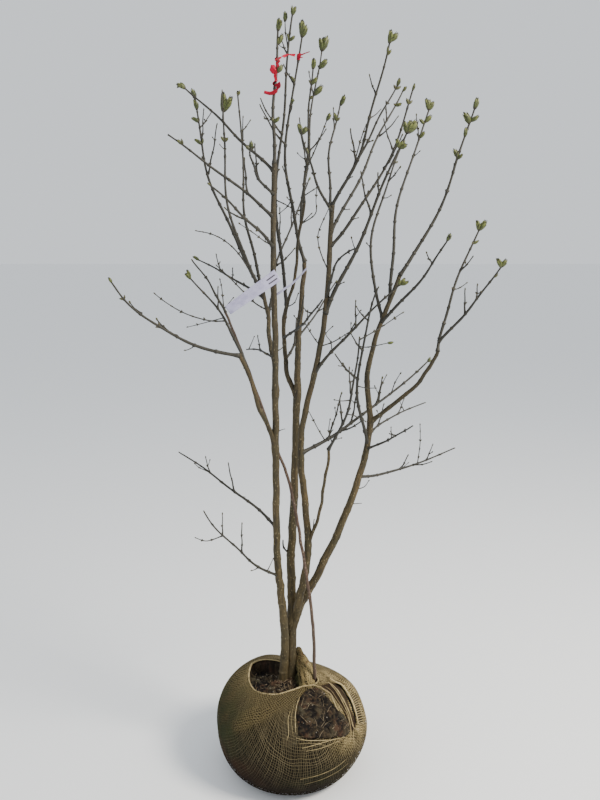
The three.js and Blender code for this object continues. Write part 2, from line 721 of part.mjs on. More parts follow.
// The gathered corner: a pleated cone that leans on the stems.
function makeGather() {
  const foot = vector(GATHER.foot);
  const top = vector(GATHER.top);
  const geometry = new THREE.CylinderGeometry(1, 1, 1, GATHER.sides, GATHER.steps);
  const position = geometry.attributes.position;
  for (let i = 0; i < position.count; i += 1) {
    const [x, y] = [position.getX(i), -position.getZ(i)];
    const t = position.getY(i) + 0.5;
    const pleat = 1 + GATHER.pleatDepth * Math.sin(GATHER.pleats * Math.atan2(y, x));
    const ease = (1 - t) ** 1.4;
    const centre = top.clone().lerp(foot, ease);
    centre.z = foot.z + (top.z - foot.z) * t;
    const [wide, deep] = [0, 1].map((k) => GATHER.topSize[k] + (GATHER.footSize[k] - GATHER.topSize[k]) * ease);
    position.setXYZ(i, centre.x + wide * pleat * x, centre.y + deep * pleat * y, centre.z);
  }
  const neighbours = ["left_stem", "middle_stem", "young_stem"].map((name) => grown(limbs[name]));
  const wrapForm = ballForm(-GAP);
  place("burlap_gather", cut(toSolid(geometry), [wrapForm, ...neighbours]), MATERIALS.burlap);
}

makeGather();

export default plant;
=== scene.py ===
"""A young lilac of five slender stems, bare but for its swelling buds, on a root ball in burlap.

The growth below is worked in millimetres, as the model's source has it, and goes into each mesh in
metres. +Z is up, the origin is under the middle of the ball, and the open side faces -Y.
"""
import json
import math
import random

import bpy
import numpy as np
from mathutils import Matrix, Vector, noise

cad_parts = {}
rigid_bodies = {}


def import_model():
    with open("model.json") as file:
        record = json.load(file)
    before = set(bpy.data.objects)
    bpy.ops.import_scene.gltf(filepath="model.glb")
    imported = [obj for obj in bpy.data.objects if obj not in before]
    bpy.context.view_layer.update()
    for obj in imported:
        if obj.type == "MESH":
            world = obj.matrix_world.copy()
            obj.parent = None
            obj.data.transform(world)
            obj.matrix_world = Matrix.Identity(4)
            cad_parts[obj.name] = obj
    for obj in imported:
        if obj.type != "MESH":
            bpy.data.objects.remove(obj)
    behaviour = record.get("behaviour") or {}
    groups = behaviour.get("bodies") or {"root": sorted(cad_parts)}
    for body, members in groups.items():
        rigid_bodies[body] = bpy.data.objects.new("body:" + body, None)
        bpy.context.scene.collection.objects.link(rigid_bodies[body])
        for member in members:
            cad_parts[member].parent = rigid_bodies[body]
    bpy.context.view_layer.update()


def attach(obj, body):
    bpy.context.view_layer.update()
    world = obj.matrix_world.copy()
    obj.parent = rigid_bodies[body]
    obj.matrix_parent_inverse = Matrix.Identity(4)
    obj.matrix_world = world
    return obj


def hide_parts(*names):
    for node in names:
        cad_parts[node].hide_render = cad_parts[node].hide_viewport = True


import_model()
bpy.ops.object.select_all(action="DESELECT")


# The camera stands two metres before the plant, a little above its middle, and looks slightly down.
# Small things seen in the picture are placed by their pixels, of 600 across and 800 down.
EYE = np.array([25.0, -2020.0, 1500.0])
LOOK_DOWN = math.radians(10.7)
LENS, SENSOR = 33.3, 36
PICTURE_MIDDLE = (300, 400)
FOCAL_PIXELS = LENS / SENSOR * 2 * PICTURE_MIDDLE[1]
camera_data = bpy.data.cameras.new("camera")
camera_data.sensor_width = SENSOR
camera_data.lens = LENS
camera = bpy.data.objects.new("camera", camera_data)
bpy.context.scene.collection.objects.link(camera)
camera.location = EYE * 0.001
camera.rotation_euler = (math.pi / 2 - LOOK_DOWN, 0, 0)
bpy.context.scene.camera = camera


def to_picture(points):
    """Where the camera sees points given in millimetres, in pixels across and down."""
    offset = np.asarray(points, float) - EYE
    ahead = offset[:, 1] * math.cos(LOOK_DOWN) - offset[:, 2] * math.sin(LOOK_DOWN)
    lift = offset[:, 1] * math.sin(LOOK_DOWN) + offset[:, 2] * math.cos(LOOK_DOWN)
    across = PICTURE_MIDDLE[0] + FOCAL_PIXELS * offset[:, 0] / ahead
    down = PICTURE_MIDDLE[1] - FOCAL_PIXELS * lift / ahead
    return np.stack([across, down], -1)


def from_picture(pixel, depth):
    """The point that is seen at a pixel and lies at a depth along +Y, in millimetres."""
    right = (pixel[0] - PICTURE_MIDDLE[0]) / FOCAL_PIXELS
    up = (PICTURE_MIDDLE[1] - pixel[1]) / FOCAL_PIXELS
    level, fall = math.cos(LOOK_DOWN), math.sin(LOOK_DOWN)
    ray = np.array([right, level + up * fall, up * level - fall])
    return EYE + ray * (depth - EYE[1]) / ray[1]


# The floor: a plain pale sheet, large enough to reach the horizon from any side.
FLOOR_SIZE = 600
bpy.ops.mesh.primitive_plane_add(size=FLOOR_SIZE, location=(0, 0, 0))
floor = bpy.context.object
floor.name = "floor"
floor_finish = bpy.data.materials.new("pale_floor")
floor_finish.use_nodes = True
floor_shader = floor_finish.node_tree.nodes["Principled BSDF"]
floor_shader.inputs["Base Color"].default_value = (0.9, 0.91, 0.92, 1)
floor_shader.inputs["Roughness"].default_value = 0.95
floor.data.materials.append(floor_finish)


# The light: a wide soft lamp above on the right, a weak one on the left, and an even pale sky.
def add_lamp(name, place, aim, size, power, colour):
    lamp_data = bpy.data.lights.new(name, "AREA")
    lamp_data.shape = "SQUARE"
    lamp_data.size = size
    lamp_data.energy = power
    lamp_data.color = colour
    lamp = bpy.data.objects.new(name, lamp_data)
    bpy.context.scene.collection.objects.link(lamp)
    lamp.location = place
    lamp.rotation_euler = (Vector(aim) - Vector(place)).to_track_quat("-Z", "Y").to_euler()


add_lamp("right_lamp", (2.6, -1.5, 3.4), (0, 0, 0.9), 1.2, 250, (1.0, 0.94, 0.83))
add_lamp("left_lamp", (-2.8, -1.6, 2.4), (0, 0, 1.0), 2.4, 14, (0.86, 0.93, 1.0))
world = bpy.context.scene.world or bpy.data.worlds.new("sky")
bpy.context.scene.world = world
world.use_nodes = True
world.node_tree.nodes["Background"].inputs["Color"].default_value = (0.84, 0.88, 0.92, 1)
world.node_tree.nodes["Background"].inputs["Strength"].default_value = 1.05


# The soil of the root ball: dark and damp, packed round the roots. It shows in the opening round the
# stems and bulges out of the torn opening at the front, lumpy and shot with fine roots.
BALL_RADIUS = 224
BALL_HEIGHT = 316
BALL_MIDDLE = np.array([-12.0, 0, 145])
FOOT_RADIUS = 130
BELLY_HEIGHT = 135
LEAN = 0.11
SOIL_FLOOR = 268
FOLD_NORMAL = np.array([-0.468, 0.404, 0.786])
PIXEL_ON_BALL = 2.72
STEM_OPENING = [
    (-122, 46), (-127, 0), (-122, -52), (-98, -94), (-46, -114), (-2, -104), (32, -86), (60, -74),
    (76, -54), (77, -34), (60, -10), (38, 14), (-35, 30), (-95, 54),
]
SOIL_WINDOW = [
    (300, 697), (305, 691), (311, 688), (317, 688), (325, 693), (333, 704), (340, 711), (346.5, 719),
    (349.5, 729), (346, 736), (332, 738), (316, 739), (303, 738), (297, 731), (295.5, 718), (297, 706),
]
NET_WINDOW = [
    (285, 714), (293, 705), (300, 697), (299, 715), (301, 735), (297, 745), (288, 747), (282, 738),
    (283, 725),
]
SLIT_WINDOW = [
    (334, 683.4), (339, 684.3), (343, 688), (347, 694.4), (350.6, 701), (353.6, 709), (355.8, 717),
    (357.2, 727), (355.2, 722), (352.9, 713), (350.1, 704.5), (346, 696), (341.8, 689.4), (337.8, 686),
]
TORN_STRIP = [
    (320, 685.5), (332.5, 683), (338, 685), (342.5, 690), (347.5, 700), (351, 709), (355, 721),
    (355, 729), (351, 730), (346, 717), (340, 706), (333, 698), (326, 691),
]
RUNG_WINDOW = [
    (351, 690), (356.5, 698), (360.6, 711), (362.6, 723), (359.2, 724), (356.4, 712), (353.2, 701),
    (349.4, 692.5),
]
WORN_HOLES = [
    (331.5, 688), (332.5, 692.3), (331.3, 695.3), (337, 699.3), (339.7, 701), (342.5, 706.5),
    (339.3, 705), (328, 690.5), (323.3, 681), (323, 683.4), (325.5, 682.3), (327.3, 686), (353.3, 692),
    (361.3, 726), (363.3, 726), (335.4, 696.4),
]


def new_piece(name, points, faces, finish, values=None):
    """A smooth mesh object in metres, from points in millimetres and faces of three or four corners."""
    mesh = bpy.data.meshes.new(name)
    points = np.asarray(points, float) * 0.001
    sizes = np.concatenate([np.full(len(group), group.shape[1]) for group in faces if len(group)])
    corners = np.concatenate([group.ravel() for group in faces if len(group)]).astype(np.int32)
    mesh.vertices.add(len(points))
    mesh.vertices.foreach_set("co", points.astype(np.float32).ravel())
    mesh.loops.add(len(corners))
    mesh.loops.foreach_set("vertex_index", corners)
    mesh.polygons.add(len(sizes))
    mesh.polygons.foreach_set("loop_start", (np.cumsum(sizes) - sizes).astype(np.int32))
    mesh.update(calc_edges=True)
    for key, column in (values or {}).items():
        mesh.attributes.new(key, "FLOAT", "POINT").data.foreach_set("value", np.asarray(column, np.float32))
    mesh.validate()
    mesh.shade_smooth()
    piece = bpy.data.objects.new(name, mesh)
    bpy.context.scene.collection.objects.link(piece)
    mesh.materials.append(finish)
    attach(piece, "root")
    return piece


def new_finish(name, roughness, specular=0.3):
    """A material and its node tree, with the plain numbers set on the shader itself."""
    finish = bpy.data.materials.new(name)
    finish.use_nodes = True
    shader = finish.node_tree.nodes["Principled BSDF"]
    shader.inputs["Roughness"].default_value = roughness
    shader.inputs["Specular IOR Level"].default_value = specular
    return finish, finish.node_tree, shader


def add_node(tree, kind, inputs, output=0, **settings):
    """One node with its settings; an input is a value or another node's output. Gives an output."""
    made = tree.nodes.new(kind)
    for key, value in settings.items():
        setattr(made, key, value)
    for key, value in inputs.items():
        socket = made.inputs[key]
        if isinstance(value, bpy.types.NodeSocket):
            tree.links.new(value, socket)
        elif socket.type == "RGBA":
            socket.default_value = (*value, 1)
        else:
            socket.default_value = value
    return made.outputs[output]


def new_group(name, takes, gives):
    """A node group with named inputs and outputs: its tree, what it takes and what it gives."""
    group = bpy.data.node_groups.new(name, "ShaderNodeTree")
    for way, sockets in (("INPUT", takes), ("OUTPUT", gives)):
        for label, kind in sockets.items():
            group.interface.new_socket(label, in_out=way, socket_type="NodeSocket" + kind)
    return group, group.nodes.new("NodeGroupInput").outputs, group.nodes.new("NodeGroupOutput").inputs


def object_place(tree):
    return add_node(tree, "ShaderNodeTexCoord", {}, "Object")


def squeezed(tree, place, share):
    """A place with its height multiplied, which draws a pattern out along +Z, or packs it."""
    return add_node(tree, "ShaderNodeMapping", {"Vector": place, "Scale": (1, 1, share)})


def stretched(tree, value, low, high, top=1):
    """A value stretched so that it runs from 0 at low to the top at high."""
    inputs = {"Value": value, "From Min": low, "From Max": high, "To Max": top}
    return add_node(tree, "ShaderNodeMapRange", inputs)


def reckoned(tree, operation, *values):
    return add_node(tree, "ShaderNodeMath", dict(enumerate(values)), operation=operation)


def mixed(tree, factor, first, second):
    """A colour between two, each a colour or another node's output."""
    return add_node(tree, "ShaderNodeMix", {0: factor, 6: first, 7: second}, 2, data_type="RGBA")


def worn(tree, name):
    """The value that the mesh itself carries under this name."""
    return add_node(tree, "ShaderNodeAttribute", {}, "Fac", attribute_name=name)


def lay_surface(tree, shader, colour, height, distance, strength=0.6):
    """The colour and the fine relief of a finish, linked to its shader."""
    tree.links.new(colour, shader.inputs["Base Color"])
    bump = add_node(tree, "ShaderNodeBump", {"Height": height, "Distance": distance, "Strength": strength})
    tree.links.new(bump, shader.inputs["Normal"])


# Blotches and specks mark most of the finishes, so each is a node group that takes its own values.
blotch_group, taken, given = new_group(
    "Blotches",
    {"Place": "Vector", **dict.fromkeys(("Scale", "Detail", "Roughness", "Low", "High"), "Float")},
    {"Amount": "Float"},
)
inputs = {"Vector": taken["Place"], **{label: taken[label] for label in ("Scale", "Detail", "Roughness")}}
cloud = add_node(blotch_group, "ShaderNodeTexNoise", inputs)
blotch_group.links.new(stretched(blotch_group, cloud, taken["Low"], taken["High"]), given["Amount"])

speck_group, taken, given = new_group(
    "Specks", {"Place": "Vector", **dict.fromkeys(("Scale", "Edge", "Heart"), "Float")}, {"Amount": "Float"},
)
cells = add_node(speck_group, "ShaderNodeTexVoronoi", {"Vector": taken["Place"], "Scale": taken["Scale"]})
speck_group.links.new(stretched(speck_group, cells, taken["Edge"], taken["Heart"]), given["Amount"])


def blotches(tree, place, scale, detail=4, roughness=0.6, low=0.35, high=0.65):
    """Noise, stretched so that it runs from 0 to 1."""
    inputs = {
        "Place": place, "Scale": scale, "Detail": detail, "Roughness": roughness, "Low": low, "High": high,
    }
    return add_node(tree, "ShaderNodeGroup", inputs, node_tree=blotch_group)


def specks(tree, place, scale, edge, heart):
    """Round specks: 0 at their edge and 1 at their heart, both given as shares of a cell."""
    inputs = {"Place": place, "Scale": scale, "Edge": edge, "Heart": heart}
    return add_node(tree, "ShaderNodeGroup", inputs, node_tree=speck_group)


def hill(offset, width, power=2):
    """1 where the offset is 0, falling off to 0 beyond the width."""
    return np.exp(-((offset / width) ** power))


def ramp(values, start, run):
    """0 up to the start, then rising to 1 over the run."""
    return np.clip((values - start) / run, 0, 1)


def scattered(points, scale, seed=0.0):
    """Noise at each point, from about -1 to 1; the scale is the size of its lumps."""
    shift = Vector((seed * 17.3, seed * 5.1, seed * 9.7))
    return np.array([noise.noise(Vector(p) / scale + shift) for p in points]) * 1.8


def spot_on_curve(stations, place):
    """A point of the smooth curve through stations; the place counts stations from the first."""
    last = len(stations) - 1
    index = int(place)
    u = place - index
    p0, p1, p2, p3 = (stations[max(0, min(last, index + k))] for k in (-1, 0, 1, 2))
    pull = (p2 - p0) / 2
    push = (p3 - p1) / 2
    rest = p2 - p1
    return p1 + u * (pull + u * (3 * rest - 2 * pull - push + u * (pull + push - 2 * rest)))


def smooth_run(stations, count):
    """A smooth open line through stations, as an array of points."""
    stations = np.asarray(stations, float)
    places = np.linspace(0, len(stations) - 1 - 1e-9, count)
    return np.array([spot_on_curve(stations, place) for place in places])


def smooth_outline(corners, count=90):
    """A smooth closed line through the corners, as an array of points in its own plane."""
    ring = np.array([*corners, corners[0]], float)
    return np.array([spot_on_curve(ring, step / count * (len(ring) - 1)) for step in range(count)])


def depth_inside(places, outline):
    """How far each place lies inside a closed outline; below 0 outside it."""
    following = np.roll(outline, -1, axis=0)
    nearest = np.full(len(places), 1e9)
    inside = np.zeros(len(places), bool)
    for a, b in zip(outline, following):
        run = b - a
        share = np.clip(((places - a) @ run) / (run @ run), 0, 1)
        nearest = np.minimum(nearest, np.linalg.norm(places - a - share[:, None] * run, axis=1))
        crosses = (a[1] > places[:, 1]) != (b[1] > places[:, 1])
        rise = run[1] if abs(run[1]) > 1e-9 else 1e-9
        inside ^= crosses & (places[:, 0] < a[0] + (places[:, 1] - a[1]) / rise * run[0])
    return np.where(inside, nearest, -nearest)


def ball_skin(azimuth, swing, proud=0.0):
    """The ball's form. Swing runs from -pi/2 at the foot's edge over 0 at the belly to pi/2 on top."""
    radius = BALL_RADIUS + proud
    foot = FOOT_RADIUS + proud / 2
    low = np.minimum(swing, 0) + math.pi / 2
    lower = foot + (radius - foot) * np.sin(low)
    upper = radius * np.clip(np.cos(swing), 0, 1) ** 0.92
    across = np.where(swing < 0, lower, upper)
    down = -proud + (BELLY_HEIGHT + proud) * (1 - np.cos(low))
    up = BELLY_HEIGHT + (BALL_HEIGHT + proud - BELLY_HEIGHT) * np.sin(swing)
    sunken = ramp(np.sin(swing), 0.35, 0.4) * np.clip(across / 60, 0, 1)
    sunken = sunken * hill((np.degrees(azimuth) - 48 + 180) % 360 - 180, 58, 4)
    up = up - 25 * sunken
    height = np.where(swing < 0, np.maximum(down, 0), up)
    level = np.sin(np.pi * height / BALL_HEIGHT)
    lumps = 3 * np.sin(3 * azimuth + 1) + 2 * np.sin(5 * azimuth + height / 40)
    points = np.stack([across * np.cos(azimuth), across * np.sin(azimuth), height], -1)
    from_fold = points @ FOLD_NORMAL - 178
    turn = (np.degrees(azimuth) + 98 + 180) % 360 - 180
    fold = 8 * hill(from_fold, 16) * hill(turn, 48, 4)
    swell = 1 + level * (lumps + fold) / BALL_RADIUS
    points[..., :2] *= swell[..., None]
    points[..., 0] -= LEAN * np.maximum(0, height - BELLY_HEIGHT)
    return points


def outwards(points):
    """The direction from the ball's middle through each point."""
    away = points - BALL_MIDDLE
    return away / np.linalg.norm(away, axis=1)[:, None]


def depth_seen(points, window):
    """How deep points of the ball's seen side lie inside a window of pixels, in millimetres."""
    facing = ((EYE - points) * (points - BALL_MIDDLE)).sum(1) > 0
    return np.where(facing, depth_inside(to_picture(points), smooth_outline(window)) * PIXEL_ON_BALL, -99)


def depth_in_top(points):
    """How deep points lie inside the opening round the stems, in plan."""
    inside = depth_inside(points[:, :2], smooth_outline(STEM_OPENING))
    return np.where(points[:, 2] > SOIL_FLOOR - 25, inside, -99)


def grid_faces(rows, columns, closed=True):
    """Four-cornered faces between rows of points, each row going round once if it is closed."""
    row = np.arange(rows - 1)[:, None]
    column = np.arange(columns if closed else columns - 1)[None, :]
    following = (column + 1) % columns
    start, after = row * columns, (row + 1) * columns
    corners = [start + column, start + following, after + following, after + column]
    return np.stack(corners, -1).reshape(-1, 4)


SOIL_SIDES = 340
SOIL_INSET = 7.5
soil_swings = np.concatenate([np.linspace(-math.pi / 2, -0.3, 30)[:-1], np.linspace(-0.3, math.pi / 2, 170)])
azimuths, swings = np.meshgrid(np.linspace(0, 2 * np.pi, SOIL_SIDES, endpoint=False), soil_swings)
soil_points = ball_skin(azimuths.ravel(), swings.ravel(), -SOIL_INSET)
soil_top = depth_in_top(soil_points)
soil_front = depth_seen(soil_points, SOIL_WINDOW)
soil_out = outwards(soil_points)
clods = scattered(soil_points, 30, 1) * 3.4 + np.abs(scattered(soil_points, 15, 2)) * 3.2
crumbs = scattered(soil_points, 7, 3) * 2.0 + scattered(soil_points, 3.6, 4) * 1.5
front_share = ramp(soil_front, -1, 8)
soil_points += soil_out * (front_share * (6 + clods + crumbs) - (1 - front_share) * 0.8)[:, None]
pit_share = ramp(soil_top, -1.5, 5)
pit_share = pit_share * pit_share * (3 - 2 * pit_share)
STEM_FEET = ((-24, -14), (2, 0))
from_stems = np.minimum(*(np.linalg.norm(soil_points[:, :2] - foot, axis=1) for foot in STEM_FEET))
pit_floor = SOIL_FLOOR - 5 + 13 * hill(from_stems, 30) + clods * 0.8 + crumbs * 1.3
soil_points[:, 2] += pit_share * (pit_floor - soil_points[:, 2]) * (soil_points[:, 2] > SOIL_FLOOR - 12)
soil_count = len(soil_points)
soil_mesh_points = np.concatenate([soil_points, [[0, 0, 0.5]]])
soil_rim = np.arange(SOIL_SIDES)
soil_base = np.stack([np.full(SOIL_SIDES, soil_count), np.roll(soil_rim, -1), soil_rim], -1)
# Painted shade: how low the soil lies between the clods, so that it is painted darker there.
hollow_shade = np.concatenate([np.clip(0.5 - (clods + crumbs - 3) / 9, 0, 1), [0.5]])

soil_finish, tree, shader = new_finish("damp_soil", 0.9, 0.25)
place = object_place(tree)
damp_here = blotches(tree, place, 130, 6, 0.8, 0.38, 0.68)
earth = mixed(tree, damp_here, (0.016, 0.011, 0.006), (0.095, 0.068, 0.036))
earth = mixed(tree, blotches(tree, place, 15, 3, 0.6, 0.48, 0.66), earth, (0.062, 0.056, 0.034))
earth = mixed(tree, blotches(tree, place, 21, 3, 0.6, 0.50, 0.62), earth, (0.066, 0.035, 0.019))
# Painted shade in the low spots between the clods.
earth = mixed(tree, stretched(tree, worn(tree, "hollow_shade"), 0.35, 0.9), earth, (0.006, 0.004, 0.003))
gritty_here = blotches(tree, place, 60, 3, 0.6, 0.54, 0.60)
grit = reckoned(tree, "MULTIPLY", specks(tree, place, 300, 0.24, 0.10), gritty_here)
earth = mixed(tree, grit, earth, (0.20, 0.175, 0.14))
lay_surface(tree, shader, earth, blotches(tree, place, 420, 8, 0.75, 0.2, 0.8), 0.003, 1.0)
soil_faces = [grid_faces(len(soil_swings), SOIL_SIDES), soil_base]
soil = new_piece("soil", soil_mesh_points, soil_faces, soil_finish, {"hollow_shade": hollow_shade})
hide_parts("soil_ball")


# Lumps of earth and small stones lie on the soil in both openings. One rough lump is shaped from a
# ball and copied at many sizes and turns.
def roughened(offset, seed, last_step, **settings):
    """The points and faces of the ball just added, shaken and then worked by a last step."""
    shape = bpy.context.object
    bpy.ops.object.mode_set(mode="EDIT")
    bpy.ops.transform.vertex_random(offset=offset, seed=seed)
    last_step(**settings)
    bpy.ops.object.mode_set(mode="OBJECT")
    points = np.array([vertex.co[:] for vertex in shape.data.vertices])
    corners = [polygon.vertices[:] for polygon in shape.data.polygons]
    bpy.data.objects.remove(shape)
    return points, corners


bpy.ops.mesh.primitive_ico_sphere_add(subdivisions=2, radius=1)
lump_points, corners = roughened(0.16, 3, bpy.ops.transform.resize, value=(1.0, 0.82, 0.66))
lump_faces = np.array(corners)


def lay_lumps(seats):
    """Copies of the lump: each seat gives a place, a size and a turn."""
    points, faces = [], []
    for index, (at, size, turn) in enumerate(seats):
        x = lump_points[:, 0] * math.cos(turn) - lump_points[:, 1] * math.sin(turn)
        y = lump_points[:, 0] * math.sin(turn) + lump_points[:, 1] * math.cos(turn)
        points.append(at + size * np.column_stack([x, y, lump_points[:, 2]]))
        faces.append(lump_faces + index * len(lump_points))
    return np.concatenate(points), np.concatenate(faces)


CRUMB_COUNT, STONE_COUNT = 420, 34
chance = random.Random(12)
open_soil = np.flatnonzero((soil_front > 3) | (soil_top > 5))
earth_seats, stone_seats = [], []
for _ in range(CRUMB_COUNT):
    spot = open_soil[chance.randrange(len(open_soil))]
    size = chance.uniform(0.9, 3.4) * chance.choice((0.6, 1, 1.3))
    earth_seats.append((soil_points[spot], size, chance.uniform(0, 6)))
for _ in range(STONE_COUNT):
    spot = open_soil[chance.randrange(len(open_soil))]
    stone_seats.append((soil_points[spot] + soil_out[spot], chance.uniform(0.9, 2.3), chance.uniform(0, 6)))
points, faces = lay_lumps(earth_seats)
# The crumbs take a little of the same painted shade.
new_piece("soil_crumbs", points, [faces], soil_finish, {"hollow_shade": np.full(len(points), 0.2)})
stone_finish, tree, shader = new_finish("small_stones", 0.75, 0.35)
place = object_place(tree)
stone_colour = mixed(tree, blotches(tree, place, 120, 3, 0.6), (0.12, 0.10, 0.08), (0.27, 0.25, 0.21))
lay_surface(tree, shader, stone_colour, blotches(tree, place, 900, 4, 0.7, 0.2, 0.8), 0.0005, 0.6)
points, faces = lay_lumps(stone_seats)
new_piece("soil_stones", points, [faces], stone_finish)


# The burlap: one loose square of jute drawn up from under the ball, so its yarns cross in diamonds
# at the front and crowd together towards the top. Where it is stretched thin, only a net is left.
CLOTH_TURN = math.radians(-76)
CLOTH_INSET = 3.6
YARN_PITCH = 8.4
YARN_DRIFT, YARN_SHAKE = 0.7, 0.3
PROFILE_STEPS = 400
PROFILE_SIDE = 2.2

sweep_swings = np.linspace(-math.pi / 2, math.pi / 2, PROFILE_STEPS)
profile = ball_skin(np.zeros(PROFILE_STEPS) + PROFILE_SIDE, sweep_swings)
profile_arc = FOOT_RADIUS + np.concatenate([[0], np.cumsum(np.linalg.norm(np.diff(profile, axis=0), axis=1))])


def cloth_point(flat, proud):
    """Where a point of the flat square lies once it is drawn up round the ball."""
    from_middle = np.linalg.norm(flat, axis=1)
    azimuth = np.arctan2(flat[:, 1], flat[:, 0]) + CLOTH_TURN
    return ball_skin(azimuth, np.interp(from_middle, profile_arc, sweep_swings), proud)


def near_turn(points, azimuth, width):
    """1 at an azimuth round the ball, falling off to 0 beyond a width, both in degrees."""
    turn = (np.degrees(np.arctan2(points[:, 1], points[:, 0])) - azimuth + 180) % 360 - 180
    return hill(np.abs(turn), width, 4)


def cloth_tints(points):
    """How close-woven, how green and how red the burlap is at each point; how dark, which is painted shade
    towards the foot and on the left and soil stain in the torn strip; and how pale and lit, which is painted
    light on the right side and a painted highlight along the opening's rim.
    """
    height = points[:, 2]
    on_fold = hill(points @ FOLD_NORMAL - 184, 25) * near_turn(points, -112, 44)
    crown = ramp(height, 238, 50) * 0.9
    left = near_turn(points, 178, 42) * ramp(height, 110, 60) * 0.8
    right = near_turn(points, -12, 44) * ramp(height, 90, 80)
    back = near_turn(points, 90, 60) * 0.35
    wandering = scattered(points, 60, 6) * 0.16
    dense = np.clip(np.maximum.reduce([on_fold * 1.1, crown, left, right, back]) + wandering, 0, 1)
    green = near_turn(points, -176, 44) * hill(height - 170, 85)
    green = np.maximum(green, 0.7 * near_turn(points, -70, 26) * hill(height - 60, 45))
    red = near_turn(points, -146, 36) * hill(height - 66, 50)
    red = np.maximum(red, 0.9 * near_turn(points, -104, 44) * hill(height - 18, 26))
    red = np.maximum(red, 0.5 * near_turn(points, 60, 60) * hill(height - 50, 40))
    green = np.clip(green * (0.8 + scattered(points, 35, 8) * 0.5), 0, 1)
    red = np.clip(red * (0.8 + scattered(points, 28, 9) * 0.5), 0, 1)
    # Painted shade: darker towards the foot and on the left, away from the lamp, and less so on the lit right
    # side.
    shade_and_soil = np.clip((142 - height) / 92 + scattered(points, 40, 10) * 0.2, 0, 1)
    shade_and_soil = shade_and_soil * (1 - 0.3 * near_turn(points, -28, 30))
    shade_and_soil = np.maximum(shade_and_soil, 0.38 * near_turn(points, 176, 46) * np.clip((240 - height) / 60, 0, 1))
    # The torn strip is stained dark and reddish with soil.
    torn = np.clip(depth_seen(points, TORN_STRIP) / 3 + 0.5, 0, 1)
    red = np.maximum(red, 0.35 * torn)
    shade_and_soil = np.maximum(shade_and_soil, 0.45 * torn)
    # Painted light: the right side, which faces the lamp, is painted paler, less so near the top.
    pale_and_lit = near_turn(points, -14, 40) * ramp(height, 95, 80)
    pale_and_lit = pale_and_lit * np.clip(0.8 + scattered(points, 24, 13) * 0.8, 0, 1)
    pale_and_lit = pale_and_lit * (1 - 0.5 * ramp(height, 262, 20))
    # A painted highlight along the back and left of the opening's rim.
    rim = hill(np.abs(depth_in_top(points)), 22)
    rim = rim * np.clip(-points[:, 0] / 60 + points[:, 1] / 40, 0, 1)
    pale_and_lit = np.maximum(pale_and_lit, 0.2 * rim)
    dense = dense * (1 - 0.6 * torn)
    return {"dense": dense, "green": green, "red": red, "shade_and_soil": shade_and_soil, "pale_and_lit": pale_and_lit * (1 - torn)}


# Stains and painted shade: how strongly each of the mesh's own values dyes the jute at most, and in what
# colour. It is green with algae and red with clay. The dark colour is painted shade towards the foot and on
# the left, and soil stain in the torn strip; on the gather, both the dark colour and the green tint follow
# its side turned from the lamp, as painted shade.
STAINS_AND_SHADE = {
    "Green": (0.75, (0.042, 0.058, 0.022)),
    "Red": (0.8, (0.062, 0.024, 0.015)),
    "Shade_and_soil": (0.92, (0.012, 0.008, 0.005)),
}
tree, taken, given = new_group(
    "Stains_and_shade", {"Colour": "Color", **dict.fromkeys(STAINS_AND_SHADE, "Float")}, {"Colour": "Color"},
)
stain_and_shade_group = tree
colour = taken["Colour"]
for label, (strength, dye) in STAINS_AND_SHADE.items():
    colour = mixed(tree, reckoned(tree, "MULTIPLY", taken[label], strength), colour, dye)
tree.links.new(colour, given["Colour"])


def stained_and_shaded(tree, colour):
    """A colour of jute with the stains and the painted shade that the mesh carries."""
    inputs = {"Colour": colour, **{label: worn(tree, label.lower()) for label in STAINS_AND_SHADE}}
    return add_node(tree, "ShaderNodeGroup", inputs, node_tree=stain_and_shade_group)


# The weave crosses in diamonds round the ball: it is 1 on a thread and 0 in the gaps between.
THREADS_ROUND, THREADS_UP, THREAD_WANDER = 100, 600, 9
tree, taken, given = new_group("Weave", {"Place": "Vector"}, {"Thread": "Float"})
weave_group = tree
place = taken["Place"]
ahead, aside, height = (add_node(tree, "ShaderNodeSeparateXYZ", {"Vector": place}, axis) for axis in "YXZ")
round_ball = reckoned(tree, "MULTIPLY", reckoned(tree, "ARCTAN2", ahead, aside), THREADS_ROUND)
wander = reckoned(tree, "MULTIPLY", blotches(tree, place, 26, 3, 0.6, 0.2, 0.8), THREAD_WANDER)
in_plan = add_node(tree, "ShaderNodeVectorMath", {0: place, 1: (1, 1, 0)}, operation="MULTIPLY")
from_axis = add_node(tree, "ShaderNodeVectorMath", {0: in_plan}, "Value", operation="LENGTH")
upward = reckoned(tree, "SUBTRACT", height, from_axis)
threads = []
for tilt in (-THREADS_UP, THREADS_UP):
    wave = reckoned(tree, "ADD", reckoned(tree, "MULTIPLY_ADD", upward, tilt, round_ball), wander)
    threads.append(stretched(tree, reckoned(tree, "SINE", wave), 0.1, 0.8))
tree.links.new(reckoned(tree, "MAXIMUM", *threads), given["Thread"])


def woven(tree, place):
    return add_node(tree, "ShaderNodeGroup", {"Place": place}, node_tree=weave_group)


jute, tree, shader = new_finish("jute_yarn", 0.85, 0.2)
place = object_place(tree)
colour = mixed(tree, worn(tree, "tone"), (0.022, 0.017, 0.008), (0.142, 0.114, 0.062))
colour = mixed(tree, blotches(tree, place, 10, 3, 0.6, 0.5, 0.8), colour, (0.070, 0.053, 0.025))
colour = mixed(tree, reckoned(tree, "MULTIPLY", worn(tree, "dense"), 0.6), colour, (0.215, 0.162, 0.070))
# Painted light: paler on the lit right side, along the opening's rim, and on the raised hems and bundles.
colour = mixed(tree, worn(tree, "pale_and_lit"), colour, (0.56, 0.44, 0.225))
colour = mixed(tree, blotches(tree, place, 320, 3, 0.6, 0.55, 0.8), colour, (0.20, 0.16, 0.085))
